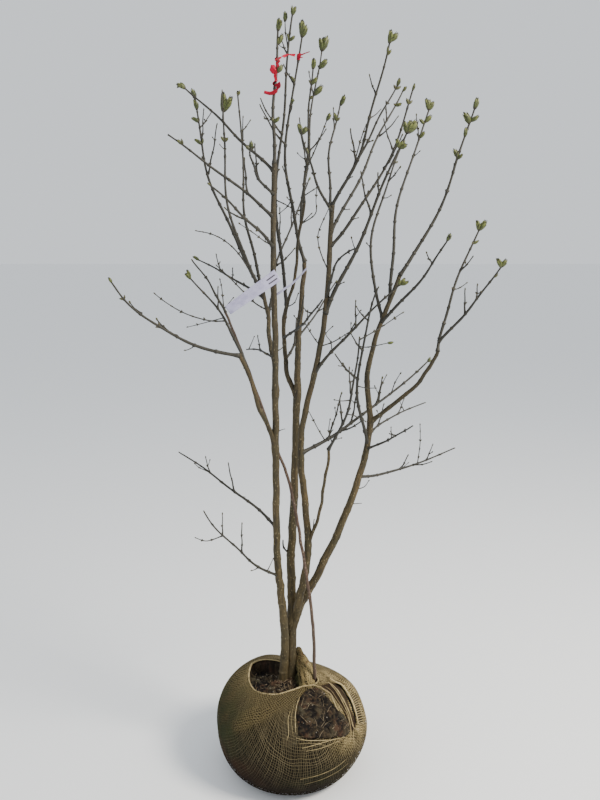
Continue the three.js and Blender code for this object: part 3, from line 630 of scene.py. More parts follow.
# Painted shade: where the cloth is close-woven, the gaps between the threads are painted dark.
gaps = reckoned(tree, "MULTIPLY", reckoned(tree, "SUBTRACT", 1, woven(tree, place)), worn(tree, "dense"))
colour = mixed(tree, gaps, colour, (0.016, 0.012, 0.006))
lay_surface(tree, shader, stained_and_shaded(tree, colour), blotches(tree, place, 1500, 3, 0.7, 0.2, 0.8), 0.0006, 0.7)

cloth, tree, shader = new_finish("jute_cloth", 0.95, 0.15)
place = object_place(tree)
straw = mixed(tree, blotches(tree, place, 14, 4, 0.6), (0.078, 0.058, 0.023), (0.165, 0.124, 0.052))
straw = mixed(tree, blotches(tree, place, 230, 4, 0.7, 0.45, 0.75), straw, (0.19, 0.15, 0.072))
# Painted light: paler where the cloth is lit, on the right side of the ball, along the opening's rim and on
# the gather's right side.
straw = mixed(tree, worn(tree, "pale_and_lit"), straw, (0.42, 0.325, 0.150))
# Where the net is open, the backing is painted nearly black: the dark earth behind it with painted shade.
earth_in_shade = mixed(tree, blotches(tree, place, 30, 4, 0.7), (0.005, 0.004, 0.003), (0.011, 0.008, 0.005))
colour = mixed(tree, stretched(tree, worn(tree, "dense"), 0.28, 0.72), earth_in_shade, straw)
# Painted shade in the gaps between the threads.
between = mixed(tree, blotches(tree, place, 40, 3, 0.6, 0.45, 0.95), (0.010, 0.0075, 0.004), colour)
weave = woven(tree, place)
lay_surface(tree, shader, stained_and_shaded(tree, mixed(tree, weave, between, colour)), weave, 0.0012, 0.8)

CLOTH_SIDES, CLOTH_RINGS = 420, 210
HOLE_RADIUS = 0.85
cloth_arcs = np.linspace(0, profile_arc[-1] - 1, CLOTH_RINGS)
cloth_turns = np.linspace(0, 2 * np.pi, CLOTH_SIDES, endpoint=False)
turns, arcs = np.meshgrid(cloth_turns, cloth_arcs)
flat_cloth = np.stack([arcs.ravel() * np.cos(turns.ravel()), arcs.ravel() * np.sin(turns.ravel())], -1)
cloth_points = cloth_point(flat_cloth, -CLOTH_INSET)
below = arcs.ravel() < FOOT_RADIUS
cloth_points[below, :2] *= (np.maximum(arcs.ravel()[below], 0.01) / FOOT_RADIUS)[:, None]
cloth_points[below, 2] = 0.4
tints = cloth_tints(cloth_points)
creases = scattered(cloth_points * np.array([1, 1, 0.35]), 22, 5) * (1.0 + 1.6 * tints["pale_and_lit"])
round_top = np.arctan2(cloth_points[:, 1] + 25, cloth_points[:, 0] + 45)
gathers = np.sin(round_top * 52 + 3 * np.sin(round_top * 5)) * 1.5
gathers *= hill(np.abs(depth_in_top(cloth_points)), 26) * (cloth_points[:, 2] > 200)
cloth_points += outwards(cloth_points) * ((creases + gathers) * (cloth_points[:, 2] > 8))[:, None]
gone = np.maximum.reduce([
    depth_in_top(cloth_points), depth_seen(cloth_points, SOIL_WINDOW), depth_seen(cloth_points, NET_WINDOW),
    depth_seen(cloth_points, SLIT_WINDOW), depth_seen(cloth_points, RUNG_WINDOW),
])
cloth_pictured = to_picture(cloth_points)
for hole in WORN_HOLES:
    near_hole = np.linalg.norm(cloth_pictured - hole, axis=1) < HOLE_RADIUS
    gone = np.where(near_hole & (cloth_points[:, 1] < 0), 1, gone)
cloth_faces = grid_faces(len(cloth_arcs), CLOTH_SIDES)
cloth_faces = cloth_faces[gone[cloth_faces].mean(1) < 0]
wrap = new_piece("burlap_cloth", cloth_points, [cloth_faces], cloth, tints)
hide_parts("burlap_wrap")


def strand_mesh(lines, widths, thick, sides=4):
    """Flat yarns along lines of points, each lying on the ball: points and faces of them all."""
    points, quads = [], []
    count = 0
    for line, width in zip(lines, widths):
        line = np.asarray(line, float)
        along = np.gradient(line, axis=0)
        along /= np.maximum(np.linalg.norm(along, axis=1), 1e-9)[:, None]
        outward = outwards(line)
        outward -= (outward * along).sum(1)[:, None] * along
        outward /= np.maximum(np.linalg.norm(outward, axis=1), 1e-9)[:, None]
        across = np.cross(along, outward)
        wide = np.full(len(line), width / 2) if np.isscalar(width) else np.asarray(width) / 2
        turns = np.arange(sides) / sides * 2 * np.pi
        ring = line[:, None, :] + across[:, None, :] * (wide[:, None] * np.cos(turns))[..., None]
        ring = ring + outward[:, None, :] * (np.minimum(wide, thick / 2)[:, None] * np.sin(turns))[..., None]
        points.append(ring.reshape(-1, 3))
        quads.append(grid_faces(len(line), sides)[:, ::-1] + count)
        first = count + np.arange(sides)
        count += len(line) * sides
        last = count - sides + np.arange(sides)
        quads.append(np.array([first, last[::-1]]))
    return np.concatenate(points), np.concatenate(quads)


chance = random.Random(41)
half = int(profile_arc[-1] / YARN_PITCH) + 1
for family, name in enumerate(("burlap_warp", "burlap_weft")):
    lines, widths, tones = [], [], []
    for index in range(-half, half + 1):
        stations = np.arange(-half, half + 1)
        flat = np.stack([np.full(len(stations), index * YARN_PITCH), stations * YARN_PITCH], -1).astype(float)
        if family:
            flat = flat[:, ::-1]
        drift = np.array([
            [noise.noise(Vector((x / 52, y / 52, layer + family))) for layer in (3.1, 8.4)] for x, y in flat
        ])
        shake = np.array([noise.noise(Vector((x / 13, y / 13, 5.7 + 3 * family))) for x, y in flat])
        flat = flat + drift * YARN_PITCH * YARN_DRIFT
        flat[:, family] += shake * YARN_PITCH * YARN_SHAKE + chance.uniform(-1.2, 1.2)
        from_middle = np.linalg.norm(flat, axis=1)
        over = ((stations + index + family) % 2) * 1.0 - 0.5
        points = cloth_point(flat, 0.0)
        points = points + outwards(points) * over[:, None]
        ragged = 3.5 * np.sin(index * 2.3 + family)
        keep = (from_middle > FOOT_RADIUS - 6) & (from_middle < profile_arc[-1] - 2)
        keep &= depth_in_top(points) < 1
        keep &= depth_seen(points, SOIL_WINDOW) < 1.5 + ragged
        keep &= (depth_seen(points, SLIT_WINDOW) < -2) & (depth_seen(points, TORN_STRIP) < 0)
        keep &= depth_seen(points, RUNG_WINDOW) < -1
        start = 0
        for stop in range(len(stations) + 1):
            if stop == len(stations) or not keep[stop]:
                if stop - start > 3:
                    lines.append(points[start:stop])
                    tone = 0.4 + 0.6 * chance.random()
                    widths.append(0.9 + 0.5 * tone + chance.uniform(0, 0.3))
                    tones.append(np.full(4 * (stop - start), tone))
                start = stop + 1
    points, quads = strand_mesh(lines, widths, 1.0)
    new_piece(name, points, [quads], jute, {"tone": np.concatenate(tones), **cloth_tints(points)})


# The edge of the opening round the stems is turned under to a thin hem, and the torn edges of the
# front opening and of the slit are drawn into bundles of stretched yarn.
def round_tube(line, radii, sides, closed=False, pleats=None):
    """A round body along a line of points: its points, and its faces with both ends closed."""
    line = np.asarray(line, float)
    count = len(line)
    radii = np.broadcast_to(np.asarray(radii, float), (count,))
    if closed:
        along = np.roll(line, -1, axis=0) - np.roll(line, 1, axis=0)
    else:
        along = np.gradient(line, axis=0)
    along /= np.maximum(np.linalg.norm(along, axis=1), 1e-9)[:, None]
    guide = np.array([0.0, 1.0, 0.0]) if abs(along[0][1]) < 0.7 else np.array([1.0, 0.0, 0.0])
    first = np.zeros((count, 3))
    for index in range(count):
        guide = guide - along[index] * (guide @ along[index])
        guide /= np.linalg.norm(guide)
        first[index] = guide
    second = np.cross(along, first)
    turns = np.arange(sides) / sides * 2 * np.pi
    spread = radii[:, None] if pleats is None else radii[:, None] * pleats
    ring = line[:, None, :] + first[:, None, :] * (spread * np.cos(turns))[..., None]
    ring = ring + second[:, None, :] * (spread * np.sin(turns))[..., None]
    points = ring.reshape(-1, 3)
    quads = grid_faces(count, sides)
    if closed:
        seam = np.arange(sides)
        following = (seam + 1) % sides
        base = (count - 1) * sides
        quads = np.concatenate([quads, np.stack([base + seam, base + following, following, seam], -1)])
        return points, quads, np.zeros((0, 3), int)
    points = np.concatenate([points, [line[0], line[-1]]])
    ends = []
    for side in range(sides):
        following = (side + 1) % sides
        ends.append((count * sides, following, side))
        base = (count - 1) * sides
        ends.append((count * sides + 1, base + side, base + following))
    return points, quads, np.array(ends)


def joined_parts(parts, *numbers):
    """Several meshes as one: points, faces, and each row of numbers spread over its mesh's points."""
    sizes = [len(points) for points, quads, ends in parts]
    starts = np.cumsum([0, *sizes[:-1]])
    points = np.concatenate([part[0] for part in parts])
    faces = [np.concatenate([part[kind] + start for part, start in zip(parts, starts)]) for kind in (1, 2)]
    return points, faces, *(np.repeat(row, sizes) for row in numbers)


skin_turns, skin_swings = np.meshgrid(
    np.radians(np.arange(-178, 0, 0.35)), np.linspace(-1.2, math.pi / 2, 620),
)
skin_samples = ball_skin(skin_turns.ravel(), skin_swings.ravel())
skin_samples = skin_samples[((EYE - skin_samples) * (skin_samples - BALL_MIDDLE)).sum(1) > 0]
skin_pictured = to_picture(skin_samples)


def seen_on_ball(pixels, count, proud):
    """A smooth line over the ball through the places that are seen at these pixels."""
    spots = [skin_samples[np.argmin(((skin_pictured - pixel) ** 2).sum(1))] for pixel in pixels]
    line = smooth_run(spots, count)
    return line + outwards(line) * proud


def height_in_plan(plan):
    """The height of the ball's top over places in plan."""
    azimuth, swing = np.meshgrid(np.linspace(0, 2 * np.pi, 720), np.linspace(0.3, math.pi / 2, 200))
    skin = ball_skin(azimuth.ravel(), swing.ravel())
    return np.array([skin[np.argmin(((skin[:, :2] - place) ** 2).sum(1)), 2] for place in plan])


HEM_STATIONS, HEM_SIDES, HEM_RADIUS = 300, 12, 2.2
hem_plan = smooth_outline(STEM_OPENING, HEM_STATIONS)
hem_height = height_in_plan(hem_plan)
hem_height = np.concatenate([hem_height[-6:], hem_height, hem_height[:6]])
hem_height = np.convolve(hem_height, np.ones(13) / 13, "valid")
hem_line = np.column_stack([hem_plan, hem_height - HEM_RADIUS])
hem_turns = np.arange(HEM_STATIONS)[:, None] / HEM_STATIONS * 2 * np.pi
ring_turns = np.arange(HEM_SIDES)[None, :] / HEM_SIDES * 2 * np.pi
hem_pleats = 1 + 0.12 * np.sin(hem_turns * 71 + 2 * np.sin(hem_turns * 5) + ring_turns)
hem_pleats = hem_pleats + 0.08 * np.sin(hem_turns * 23)
hem_radii = HEM_RADIUS + 0.5 * np.sin(hem_turns[:, 0] * 3 + 1)
hem_parts = [round_tube(hem_line, hem_radii, HEM_SIDES, True, hem_pleats)]
# Each part's tone, and how pale and lit it is: partly the jute's own paleness, partly a painted highlight on
# the raised hems and bundles.
hem_tones, hem_pale_and_lit = [0.8], [0.7]

# Each bundle: its half width where it is thickest, how pale it is, which also sets how much painted highlight
# it takes, and the pixels it runs through.
BUNDLES = [
    (2.0, 1.0, (328, 682.5), (333, 686), (337.5, 691), (341.5, 697.5), (345.5, 705), (349, 713),
     (351.5, 722), (353, 727)),
    (1.3, 1.0, (330, 684.5), (335, 690), (340, 698), (344.5, 706.5), (348, 715), (350, 724)),
    (2.0, 0.8, (320, 687), (325, 690.5), (330, 694), (333, 700), (336, 707), (338.5, 711)),
    (1.3, 0.8, (345, 711), (347.5, 717), (349.6, 724), (350.5, 731), (350.3, 738)),
    (1.1, 0.6, (325, 686.5), (331, 691), (336, 698), (341, 706), (345, 712)),
    (1.0, 0.7, (323, 688.5), (329, 692.3), (333.5, 698), (338, 705.5), (342, 711)),
    (1.0, 0.9, (351, 723), (353.5, 728), (357, 729), (360, 727)),
    (1.2, 0.3, (337.5, 688), (341.5, 694), (346, 702), (350, 711), (353, 720)),
    (0.9, 0.9, (299.5, 697), (296.5, 706), (295, 718), (295.5, 732)),
    (0.8, 0.8, (290, 711), (288, 720), (288.5, 732), (287, 740)),
    (0.7, 0.6, (294, 704), (291.5, 716), (292, 728), (293, 737)),
    (0.9, 0.8, (296, 738), (306, 740), (318, 740.5), (332, 739.5), (345, 737)),
    (0.7, 0.9, (302, 748), (314, 745), (326, 741.5), (337, 738.5)),
    (0.8, 0.7, (306, 751), (319, 748.5), (331, 744), (342, 739)),
    (0.6, 0.6, (299, 744), (311, 743), (321, 744.5), (330, 747)),
    (0.9, 0.9, (303, 686.5), (309, 685.3), (315, 685.6), (320, 687.5)),
    (0.7, 0.7, (300, 779), (318, 775), (334, 768), (346, 759)),
    (0.6, 0.6, (304, 784), (322, 779), (338, 771), (348, 763)),
    (0.9, 0.9, (354, 727), (353, 735), (354, 745)),
]
BUNDLE_STATIONS, BUNDLE_SIDES = 34, 8
share = np.linspace(0, 1, BUNDLE_STATIONS)
bundle_turns = np.arange(BUNDLE_SIDES)[None, :] / BUNDLE_SIDES * 2 * np.pi
twist = 1 + 0.16 * np.sin(2 * bundle_turns + share[:, None] * 40)
for half_width, tone, *pixels in BUNDLES:
    line = seen_on_ball(pixels, BUNDLE_STATIONS, 1.3)
    swelling = 0.55 + 0.45 * np.sin(np.pi * share) + 0.15 * np.sin(share * 31 + half_width * 9)
    hem_parts.append(round_tube(line, half_width * swelling, BUNDLE_SIDES, False, twist))
    hem_tones.append(tone)
    hem_pale_and_lit.append(max(0, tone - 0.4) * 1.6)

FOLDED_EDGE = [
    (329.5, 678.5), (335, 682), (340.5, 684.6), (345.6, 690.6), (349.8, 697.6), (353, 705), (355.6, 713),
    (358, 724),
]
EDGE_STATIONS, EDGE_SIDES, EDGE_RADIUS = 90, 12, 2.3
line = seen_on_ball(FOLDED_EDGE, EDGE_STATIONS, 1.6)
share = np.linspace(0, 1, EDGE_STATIONS)
rungs = 1 + 0.13 * np.abs(np.sin(share * 60))[:, None] * np.ones((1, EDGE_SIDES))
edge_radii = EDGE_RADIUS * np.sin(np.pi * np.clip(0.08 + 0.86 * share, 0, 1)) ** 0.5
hem_parts.append(round_tube(line, edge_radii, EDGE_SIDES, False, rungs))
# The folded edge is painted palest: a painted highlight along it.
hem_tones.append(1.0)
hem_pale_and_lit.append(1.0)

# Short rungs of yarn stand across the stretched strip beside the folded edge.
RUNG_FEET = [(348.6, 693.5), (352.8, 702.5), (356, 713.5), (358.8, 725)]
RUNG_HEADS = [(352.5, 689), (357.6, 699), (361.6, 711.5), (363.6, 723.5)]
RUNG_COUNT, RUNG_RADIUS = 17, 1.2
for foot, head in zip(smooth_run(RUNG_FEET, RUNG_COUNT), smooth_run(RUNG_HEADS, RUNG_COUNT)):
    hem_parts.append(round_tube(seen_on_ball([foot, head], 5, 0.4), RUNG_RADIUS, 6))
    hem_tones.append(0.8)
    hem_pale_and_lit.append(0.6)
points, faces, tones, pale_and_lit_values = joined_parts(hem_parts, hem_tones, hem_pale_and_lit)
hem_tints = {**cloth_tints(points), "tone": tones, "pale_and_lit": pale_and_lit_values}
for key, share in (("dense", 0.3), ("green", 0.5), ("shade_and_soil", 0.25)):
    hem_tints[key] = hem_tints[key] * share
new_piece("burlap_hems", points, faces, jute, hem_tints)


# Fine roots, pale and wiry, run over the soil in the front opening and round the foot of the stems.
ROOT_COUNT = 170
chance = random.Random(29)
root_parts = []
open_points = soil_points[open_soil]
for _ in range(ROOT_COUNT):
    spot = open_soil[chance.randrange(len(open_soil))]
    near = soil_points[spot]
    reach = chance.uniform(6, 30)
    swing = chance.uniform(0, 2 * math.pi)
    out = soil_out[spot]
    side = np.cross(out, [math.cos(swing), 0.3, math.sin(swing)])
    side /= np.linalg.norm(side)
    bend = np.cross(out, side) * chance.uniform(-0.5, 0.5)
    steps = np.linspace(0, 1, 12)[:, None]
    line = near + side * reach * steps + bend * reach * steps ** 2
    nearest = np.array([open_points[np.argmin(((open_points - p) ** 2).sum(1))] for p in line])
    line = line + out * ((nearest - line) @ out)[:, None]
    line[1:-1] = (line[:-2] + 2 * line[1:-1] + line[2:]) / 4
    line += out * 0.7
    keep = np.linalg.norm(nearest - line, axis=1) < 6
    if keep.sum() < 5:
        continue
    line = line[keep]
    root_parts.append(round_tube(line, np.linspace(0.75, 0.3, len(line)) * chance.uniform(0.7, 1.4), 6))
root_finish, tree, shader = new_finish("fine_roots", 0.8, 0.3)
place = object_place(tree)
root_colour = mixed(tree, blotches(tree, place, 130, 3, 0.6), (0.085, 0.060, 0.032), (0.27, 0.21, 0.135))
lay_surface(tree, shader, root_colour, blotches(tree, place, 1400, 3, 0.7, 0.2, 0.8), 0.0003, 0.5)
points, faces = joined_parts(root_parts)
new_piece("soil_roots", points, faces, root_finish)


# The corner of the burlap that is pulled up and stands crumpled against the stems: a slim peak that
# leans on the crossing stem over a wide crumpled foot inside the opening.
# Each row: height, the middle across and in depth, and the half widths across and in depth.
GATHER_LEVELS = [
    (272, 45, -22, 34, 46), (284, 44, -20, 33, 42), (295, 42, -14, 30, 36), (306, 39, -8, 28, 30),
    (316, 36, -2, 25.5, 25), (326, 32, 2, 22, 20), (335, 28, 6, 18, 16), (345, 25, 9, 15.5, 13),
    (354, 23.5, 10, 13, 11), (361, 22, 10, 9, 8), (365, 21.5, 10, 5, 4.5),
]
gather_rows, gather_columns = 80, 180
levels = smooth_run(GATHER_LEVELS, gather_rows)
turn = np.arange(gather_columns)[None, :] / gather_columns * 2 * np.pi
rise = np.linspace(0, 1, gather_rows)[:, None]
creases = 0.5 * np.abs(np.sin(2.5 * turn + 2.2 * rise + 0.6))
creases = creases + 0.3 * np.abs(np.sin(5.5 * turn - 5 * rise + 1.1))
creases = creases + 0.10 * np.sin(13 * turn + 9 * rise) + 0.06 * np.sin(29 * turn - 14 * rise)
pleats = 0.7 + 0.34 * creases
wide = levels[:, 3:4] * pleats
deep = levels[:, 4:5] * pleats
gather_points = np.stack([
    levels[:, 1:2] + wide * np.cos(turn), levels[:, 2:3] + deep * np.sin(turn), levels[:, 0:1] + 0 * turn,
], -1).reshape(-1, 3)
gather_points += np.column_stack([scattered(gather_points, 13, 7 + k) for k in range(3)]) * (2.0, 2.0, 2.6)
gather_points += np.column_stack([scattered(gather_points, 5, 11 + k) for k in range(3)]) * 0.6
gather_tip = len(gather_points)
gather_points = np.concatenate([gather_points, [gather_points[-gather_columns:].mean(0) + (0, 0, 1)]])
rim = (gather_rows - 1) * gather_columns + np.arange(gather_columns)
gather_cap = np.stack([np.full(gather_columns, gather_tip), rim, np.roll(rim, -1)], -1)
# Painted shade and light on the gather: its side turned from the lamp is darkened and tinted green, and its
# right side, towards the lamp, is painted paler.
to_light = gather_points @ np.array([0.75, -0.25, 0.6])
shaded = np.clip((to_light.max() * 0.9 - to_light) / 30, 0, 1)
shaded = shaded * np.clip((338 - gather_points[:, 2]) / 12, 0, 1)
speckled = np.clip(scattered(gather_points, 6, 21) * 1.6, 0, 1) * (gather_points[:, 0] < 34)
gather_tints = {
    "dense": np.clip(1 - 0.4 * speckled, 0, 1), "shade_and_soil": 0.35 * shaded, "green": np.clip(shaded * 0.8, 0, 1),
    "red": 0.7 * np.clip(scattered(gather_points, 9, 23), 0, 1) * (gather_points[:, 2] > 322),
    "pale_and_lit": np.clip((gather_points[:, 0] - 26) / 22, 0, 1) * (1 - shaded) * 0.8,
}
gather_faces = [grid_faces(gather_rows, gather_columns), gather_cap]
gather = new_piece("burlap_gather_cloth", gather_points, gather_faces, cloth, gather_tints)
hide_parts("burlap_gather")


# The four older stems: smooth olive to grey-brown bark with pale breathing spots, thick nodes and
# fine cracks towards the foot. They are cut square below the soil, and each is one long mesh.
STEM_CUT = 262
STEMS = {
    "left_stem": ([
        (-27, -10, STEM_CUT), (-19, -14, 403), (-31, -27, 566), (-40, -48, 704), (-40, -103, 1004),
        (-39, -109, 1272), (-43, -106, 1525), (-39, -97, 1735),
    ], 13, 6.3, 2.5),
    "middle_stem": ([
        (-2, 5, STEM_CUT), (1, 8, 487), (-1, 17, 639), (8, 38, 846), (17, 54, 1137), (19, 68, 1249),
        (28, 82, 1375), (39, 89, 1495),
    ], 14.8, 6, 3),
    "right_stem": ([
        (0, 7, 420), (25, 1, 504), (51, 0, 554), (97, 0, 647), (142, 0, 753), (181, 8, 855),
        (211, 17, 958), (223, 16, 1054), (211, 9, 1156), (217, 0, 1230), (238, -9, 1313),
        (290, -27, 1461),
    ], 13.4, 5.6, 0),
    "crossing_stem": ([
        (12, 3, 468), (22, -21, 535), (37, -27, 604), (48, -30, 698), (39, -33, 835), (28, -34, 951),
        (34, -32, 1066), (74, -36, 1242), (96, -48, 1401), (107, -68, 1639),
    ], 12.2, 6.2, 0),
    "young_stem": ([
        (69, -30, STEM_CUT), (65, -38, 416), (54, -44, 544), (37, -54, 664), (17, -63, 792),
        (-5, -67, 902), (-31, -60, 977), (-92, -45, 1147), (-141, -18, 1274), (-179, 18, 1360),
    ], 5, 3.4, 0),
}


def station_path(stations):
    """A smooth curve through a stem's stations, each stretch bending as its neighbours lead it."""
    stations = np.array(stations, float)
    last = len(stations) - 1
    return lambda t: spot_on_curve(stations, min(t * last, last - 1e-9))


def limb_path(foot, tip, sag, sway, phase):
    """Straight from foot to tip, but for its sag, its sway and a slight wobble."""
    wobble = 0.012 * np.linalg.norm(tip - foot)

    def path(t):
        swell = 4 * t * (1 - t)
        bend = np.array([sway + wobble * math.sin(phase + 9 * t), wobble * math.cos(phase + 7 * t), -sag])
        return foot + (tip - foot) * t + swell * bend

    return path


def path_length(path):
    return sum(np.linalg.norm(path((i + 1) / 24) - path(i / 24)) for i in range(24))


def direction_at(path, t):
    ahead = path(min(1, t + 0.01)) - path(max(0, t - 0.01))
    return ahead / np.linalg.norm(ahead)


limbs = {}


def keep_limb(name, path, foot, tip, step, flare=0.0, parent=None):
    """A limb as the source has it: its curve, its length, its radius and its straight-run spine."""
    length = path_length(path)
    steps = max(3, math.floor(length / step + 0.5))

    def radius_at(t):
        return foot + (tip - foot) * t + flare * math.exp(-t * length / 35)

    def spine(t):
        index = min(int(t * steps), steps - 1)
        a, b = path(index / steps), path((index + 1) / steps)
        return a + (b - a) * (t * steps - index)

    limbs[name] = {
        "name": name, "path": path, "length": length, "radius_at": radius_at, "spine": spine,
        "parent": parent, "joints": [],
    }
    return limbs[name]


def share_at_height(limb, height):
    low, high = 0.0, 1.0
    for _ in range(40):
        middle = (low + high) / 2
        if limb["path"](middle)[2] < height:
            low = middle
        else:
            high = middle
    return (low + high) / 2


for name, (stations, foot, tip, flare) in STEMS.items():
    keep_limb(name, station_path(stations), foot, tip, 75, flare)

BOUGHS = [
    ("left_bough", "left_stem", 1006, -135, 122, 264, -7, 0, 6.2, 5),
    ("back_bough", "left_stem", 1163, 106, 166, 271, -3, 8, 6.6, 5.2),
    ("fork_bough", "middle_stem", 1121, 109, 94, 250, 17, -21, 7.4, 5.4),
    ("inner_bough", "fork_bough", 1336, -67, 143, 314, 18, 3, 4.6, 3.8),
    ("rising_bough", "crossing_stem", 703, -63, 113, 311, -16, 15, 4.6, 3.8),
    ("right_bough", "right_stem", 1053, -41, 209, 218, -7, 33, 6, 4.6),
]


def grow_from(name, parent_name, height, heading, reach, rise, sag, sway, foot, tip, step):
    """A limb that leaves its parent at a height, towards a heading, by its reach and rise."""
    parent = limbs[parent_name]
    start = parent["path"](share_at_height(parent, height))
    across = np.array([math.cos(math.radians(heading)), math.sin(math.radians(heading)), 0])
    end = start + across * reach + np.array([0, 0, rise])
    return keep_limb(name, limb_path(start, end, sag, sway, height), foot, tip, step, 0, parent)


for row in BOUGHS:
    grow_from(*row, 50)


# How far the bark's line wanders, in millimetres, drawn from a seed so that every run is the same.
CROOKED = 2.4
noise.seed_set(6)


def bark_body(limb, sides, step, relief, node_spacing, collar, seed):
    """A limb's bark: long low ridges, nodes and a collar where it leaves its parent."""
    length = limb["length"]
    count = max(8, int(length / step))
    shares = np.linspace(0, 1, count)
    line = np.array([limb["path"](t) for t in shares])
    radii = np.array([limb["radius_at"](t) for t in shares])
    run = shares * length
    aside = [noise.noise_vector(Vector((distance / 46, seed, 2.7))) for distance in run]
    line = line + np.array(aside) * np.clip(run / 90, 0, 1)[:, None] * CROOKED
    at_node = np.abs((run / node_spacing + 0.5) % 1 - 0.5) * node_spacing
    radii = radii * (1 + 0.1 * hill(at_node, 5))
    if limb["parent"] is not None:
        radii = radii * (1 + collar * np.exp(-np.maximum(0, run - limb["parent_radius"]) / 9))
    for place, size in limb["joints"]:
        radii = radii + size * 0.24 * hill(run - place * length, size * 2.2)
    turns = np.arange(sides) / sides * 2 * np.pi
    ring = np.array([
        [
            noise.noise(Vector((math.cos(turn) * 2.1 + seed, math.sin(turn) * 2.1, distance / 42)))
            + 0.55 * noise.noise(Vector((math.cos(turn) * 5.5, math.sin(turn) * 5.5 + seed, distance / 15)))
            for turn in turns
        ]
        for distance in run
    ])
    lumps = 1 + ring * relief * (0.7 + 0.9 * np.exp(-run / 260))[:, None]
    points, quads, ends = round_tube(line, radii, sides, False, lumps)
    # Also how deep each point lies in a dent, which the bark darkens as painted shade.
    return points, [quads, ends], np.concatenate([np.clip(-ring.ravel() * 1.6, 0, 1), [0, 0]])


# The bark of stems and boughs: blotched colour, dark furrows, pale long spots, a darker crown, and mud at the
# foot. The deeper the mesh is dented, the darker its bark is painted: painted shade.
tree, taken, given = new_group(
    "Bark",
    {"Place": "Vector", "Low": "Float", **dict.fromkeys(("Young", "Old", "Furrow", "Spot", "Mud"), "Color")},
    {"Colour": "Color", "Height": "Float"},
)
bark_group = tree
place = taken["Place"]
along_grain = squeezed(tree, place, 0.22)
colour = mixed(tree, blotches(tree, squeezed(tree, place, 0.3), 22, 4, 0.6), taken["Young"], taken["Old"])
colour = mixed(tree, blotches(tree, along_grain, 260, 4, 0.7, 0.5, 0.75), colour, taken["Furrow"])
# Painted shade in the dents of the bark, by how deep they are.
colour = mixed(tree, reckoned(tree, "MULTIPLY", taken["Low"], 0.7), colour, taken["Furrow"])
spots = specks(tree, squeezed(tree, place, 0.55), 150, 0.26, 0.16)
colour = mixed(tree, spots, colour, taken["Spot"])
height = add_node(tree, "ShaderNodeSeparateXYZ", {"Vector": place}, "Z")
colour = mixed(tree, stretched(tree, height, 0.75, 1.7, 0.7), colour, (0.027, 0.023, 0.015))
splashes = blotches(tree, along_grain, 40, 4, 0.7, 0.2, 0.7)
muddy = reckoned(tree, "MULTIPLY", stretched(tree, height, 0.62, 0.27), splashes)
tree.links.new(mixed(tree, muddy, colour, taken["Mud"]), given["Colour"])
grain = reckoned(tree, "ADD", blotches(tree, along_grain, 700, 6, 0.75, 0.2, 0.8), spots)
tree.links.new(grain, given["Height"])


def bark_finish(name, **colours):
    """A bark of its own colours in the shared pattern."""
    finish, tree, shader = new_finish(name, 0.72, 0.35)
    inputs = {"Place": object_place(tree), "Low": worn(tree, "furrow_shade"), **colours}
    bark = add_node(tree, "ShaderNodeGroup", inputs, node_tree=bark_group).node
    lay_surface(tree, shader, bark.outputs["Colour"], bark.outputs["Height"], 0.0009, 0.7)
    return finish


older_bark = bark_finish(
    "older_bark", Young=(0.040, 0.033, 0.012), Old=(0.090, 0.060, 0.021), Furrow=(0.013, 0.010, 0.005),
    Spot=(0.160, 0.128, 0.066), Mud=(0.055, 0.042, 0.019),
)
for limb in limbs.values():
    if limb["parent"] is not None:
        start = limb["path"](0)
        share = share_at_height(limb["parent"], start[2])
        limb["parent_radius"] = limb["parent"]["radius_at"](share)
        limb["parent"]["joints"].append((share, limb["radius_at"](0)))
OLDER_STEM_SIDES = {"left_stem": 32, "middle_stem": 32, "right_stem": 30, "crossing_stem": 28}
for index, (name, sides) in enumerate(OLDER_STEM_SIDES.items()):
    points, faces, low = bark_body(limbs[name], sides, 3.2, 0.085, 74, 0, index * 3.7)
    stem = new_piece(name + "_bark", points, faces, older_bark, {"furrow_shade": low})
    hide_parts(name)


# The young stem: a long shoot of the last two years, thin, smooth and reddish brown.
young_bark = bark_finish(
    "young_bark", Young=(0.058, 0.034, 0.023), Old=(0.105, 0.062, 0.040), Furrow=(0.020, 0.012, 0.009),
    Spot=(0.20, 0.15, 0.105), Mud=(0.085, 0.060, 0.040),
)
points, faces, low = bark_body(limbs["young_stem"], 18, 3.2, 0.05, 88, 0, 31.0)
stem = new_piece("young_stem_bark", points, faces, young_bark, {"furrow_shade": low})
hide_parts("young_stem")


# The boughs: each grows out of its stem with a swollen collar, in the same bark.
for index, row in enumerate(BOUGHS):
    points, faces, low = bark_body(limbs[row[0]], 20, 3.0, 0.07, 58, 0.5, 51.0 + index * 2.9)
    bough = new_piece(row[0] + "_bark", points, faces, older_bark, {"furrow_shade": low})
    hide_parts(row[0])


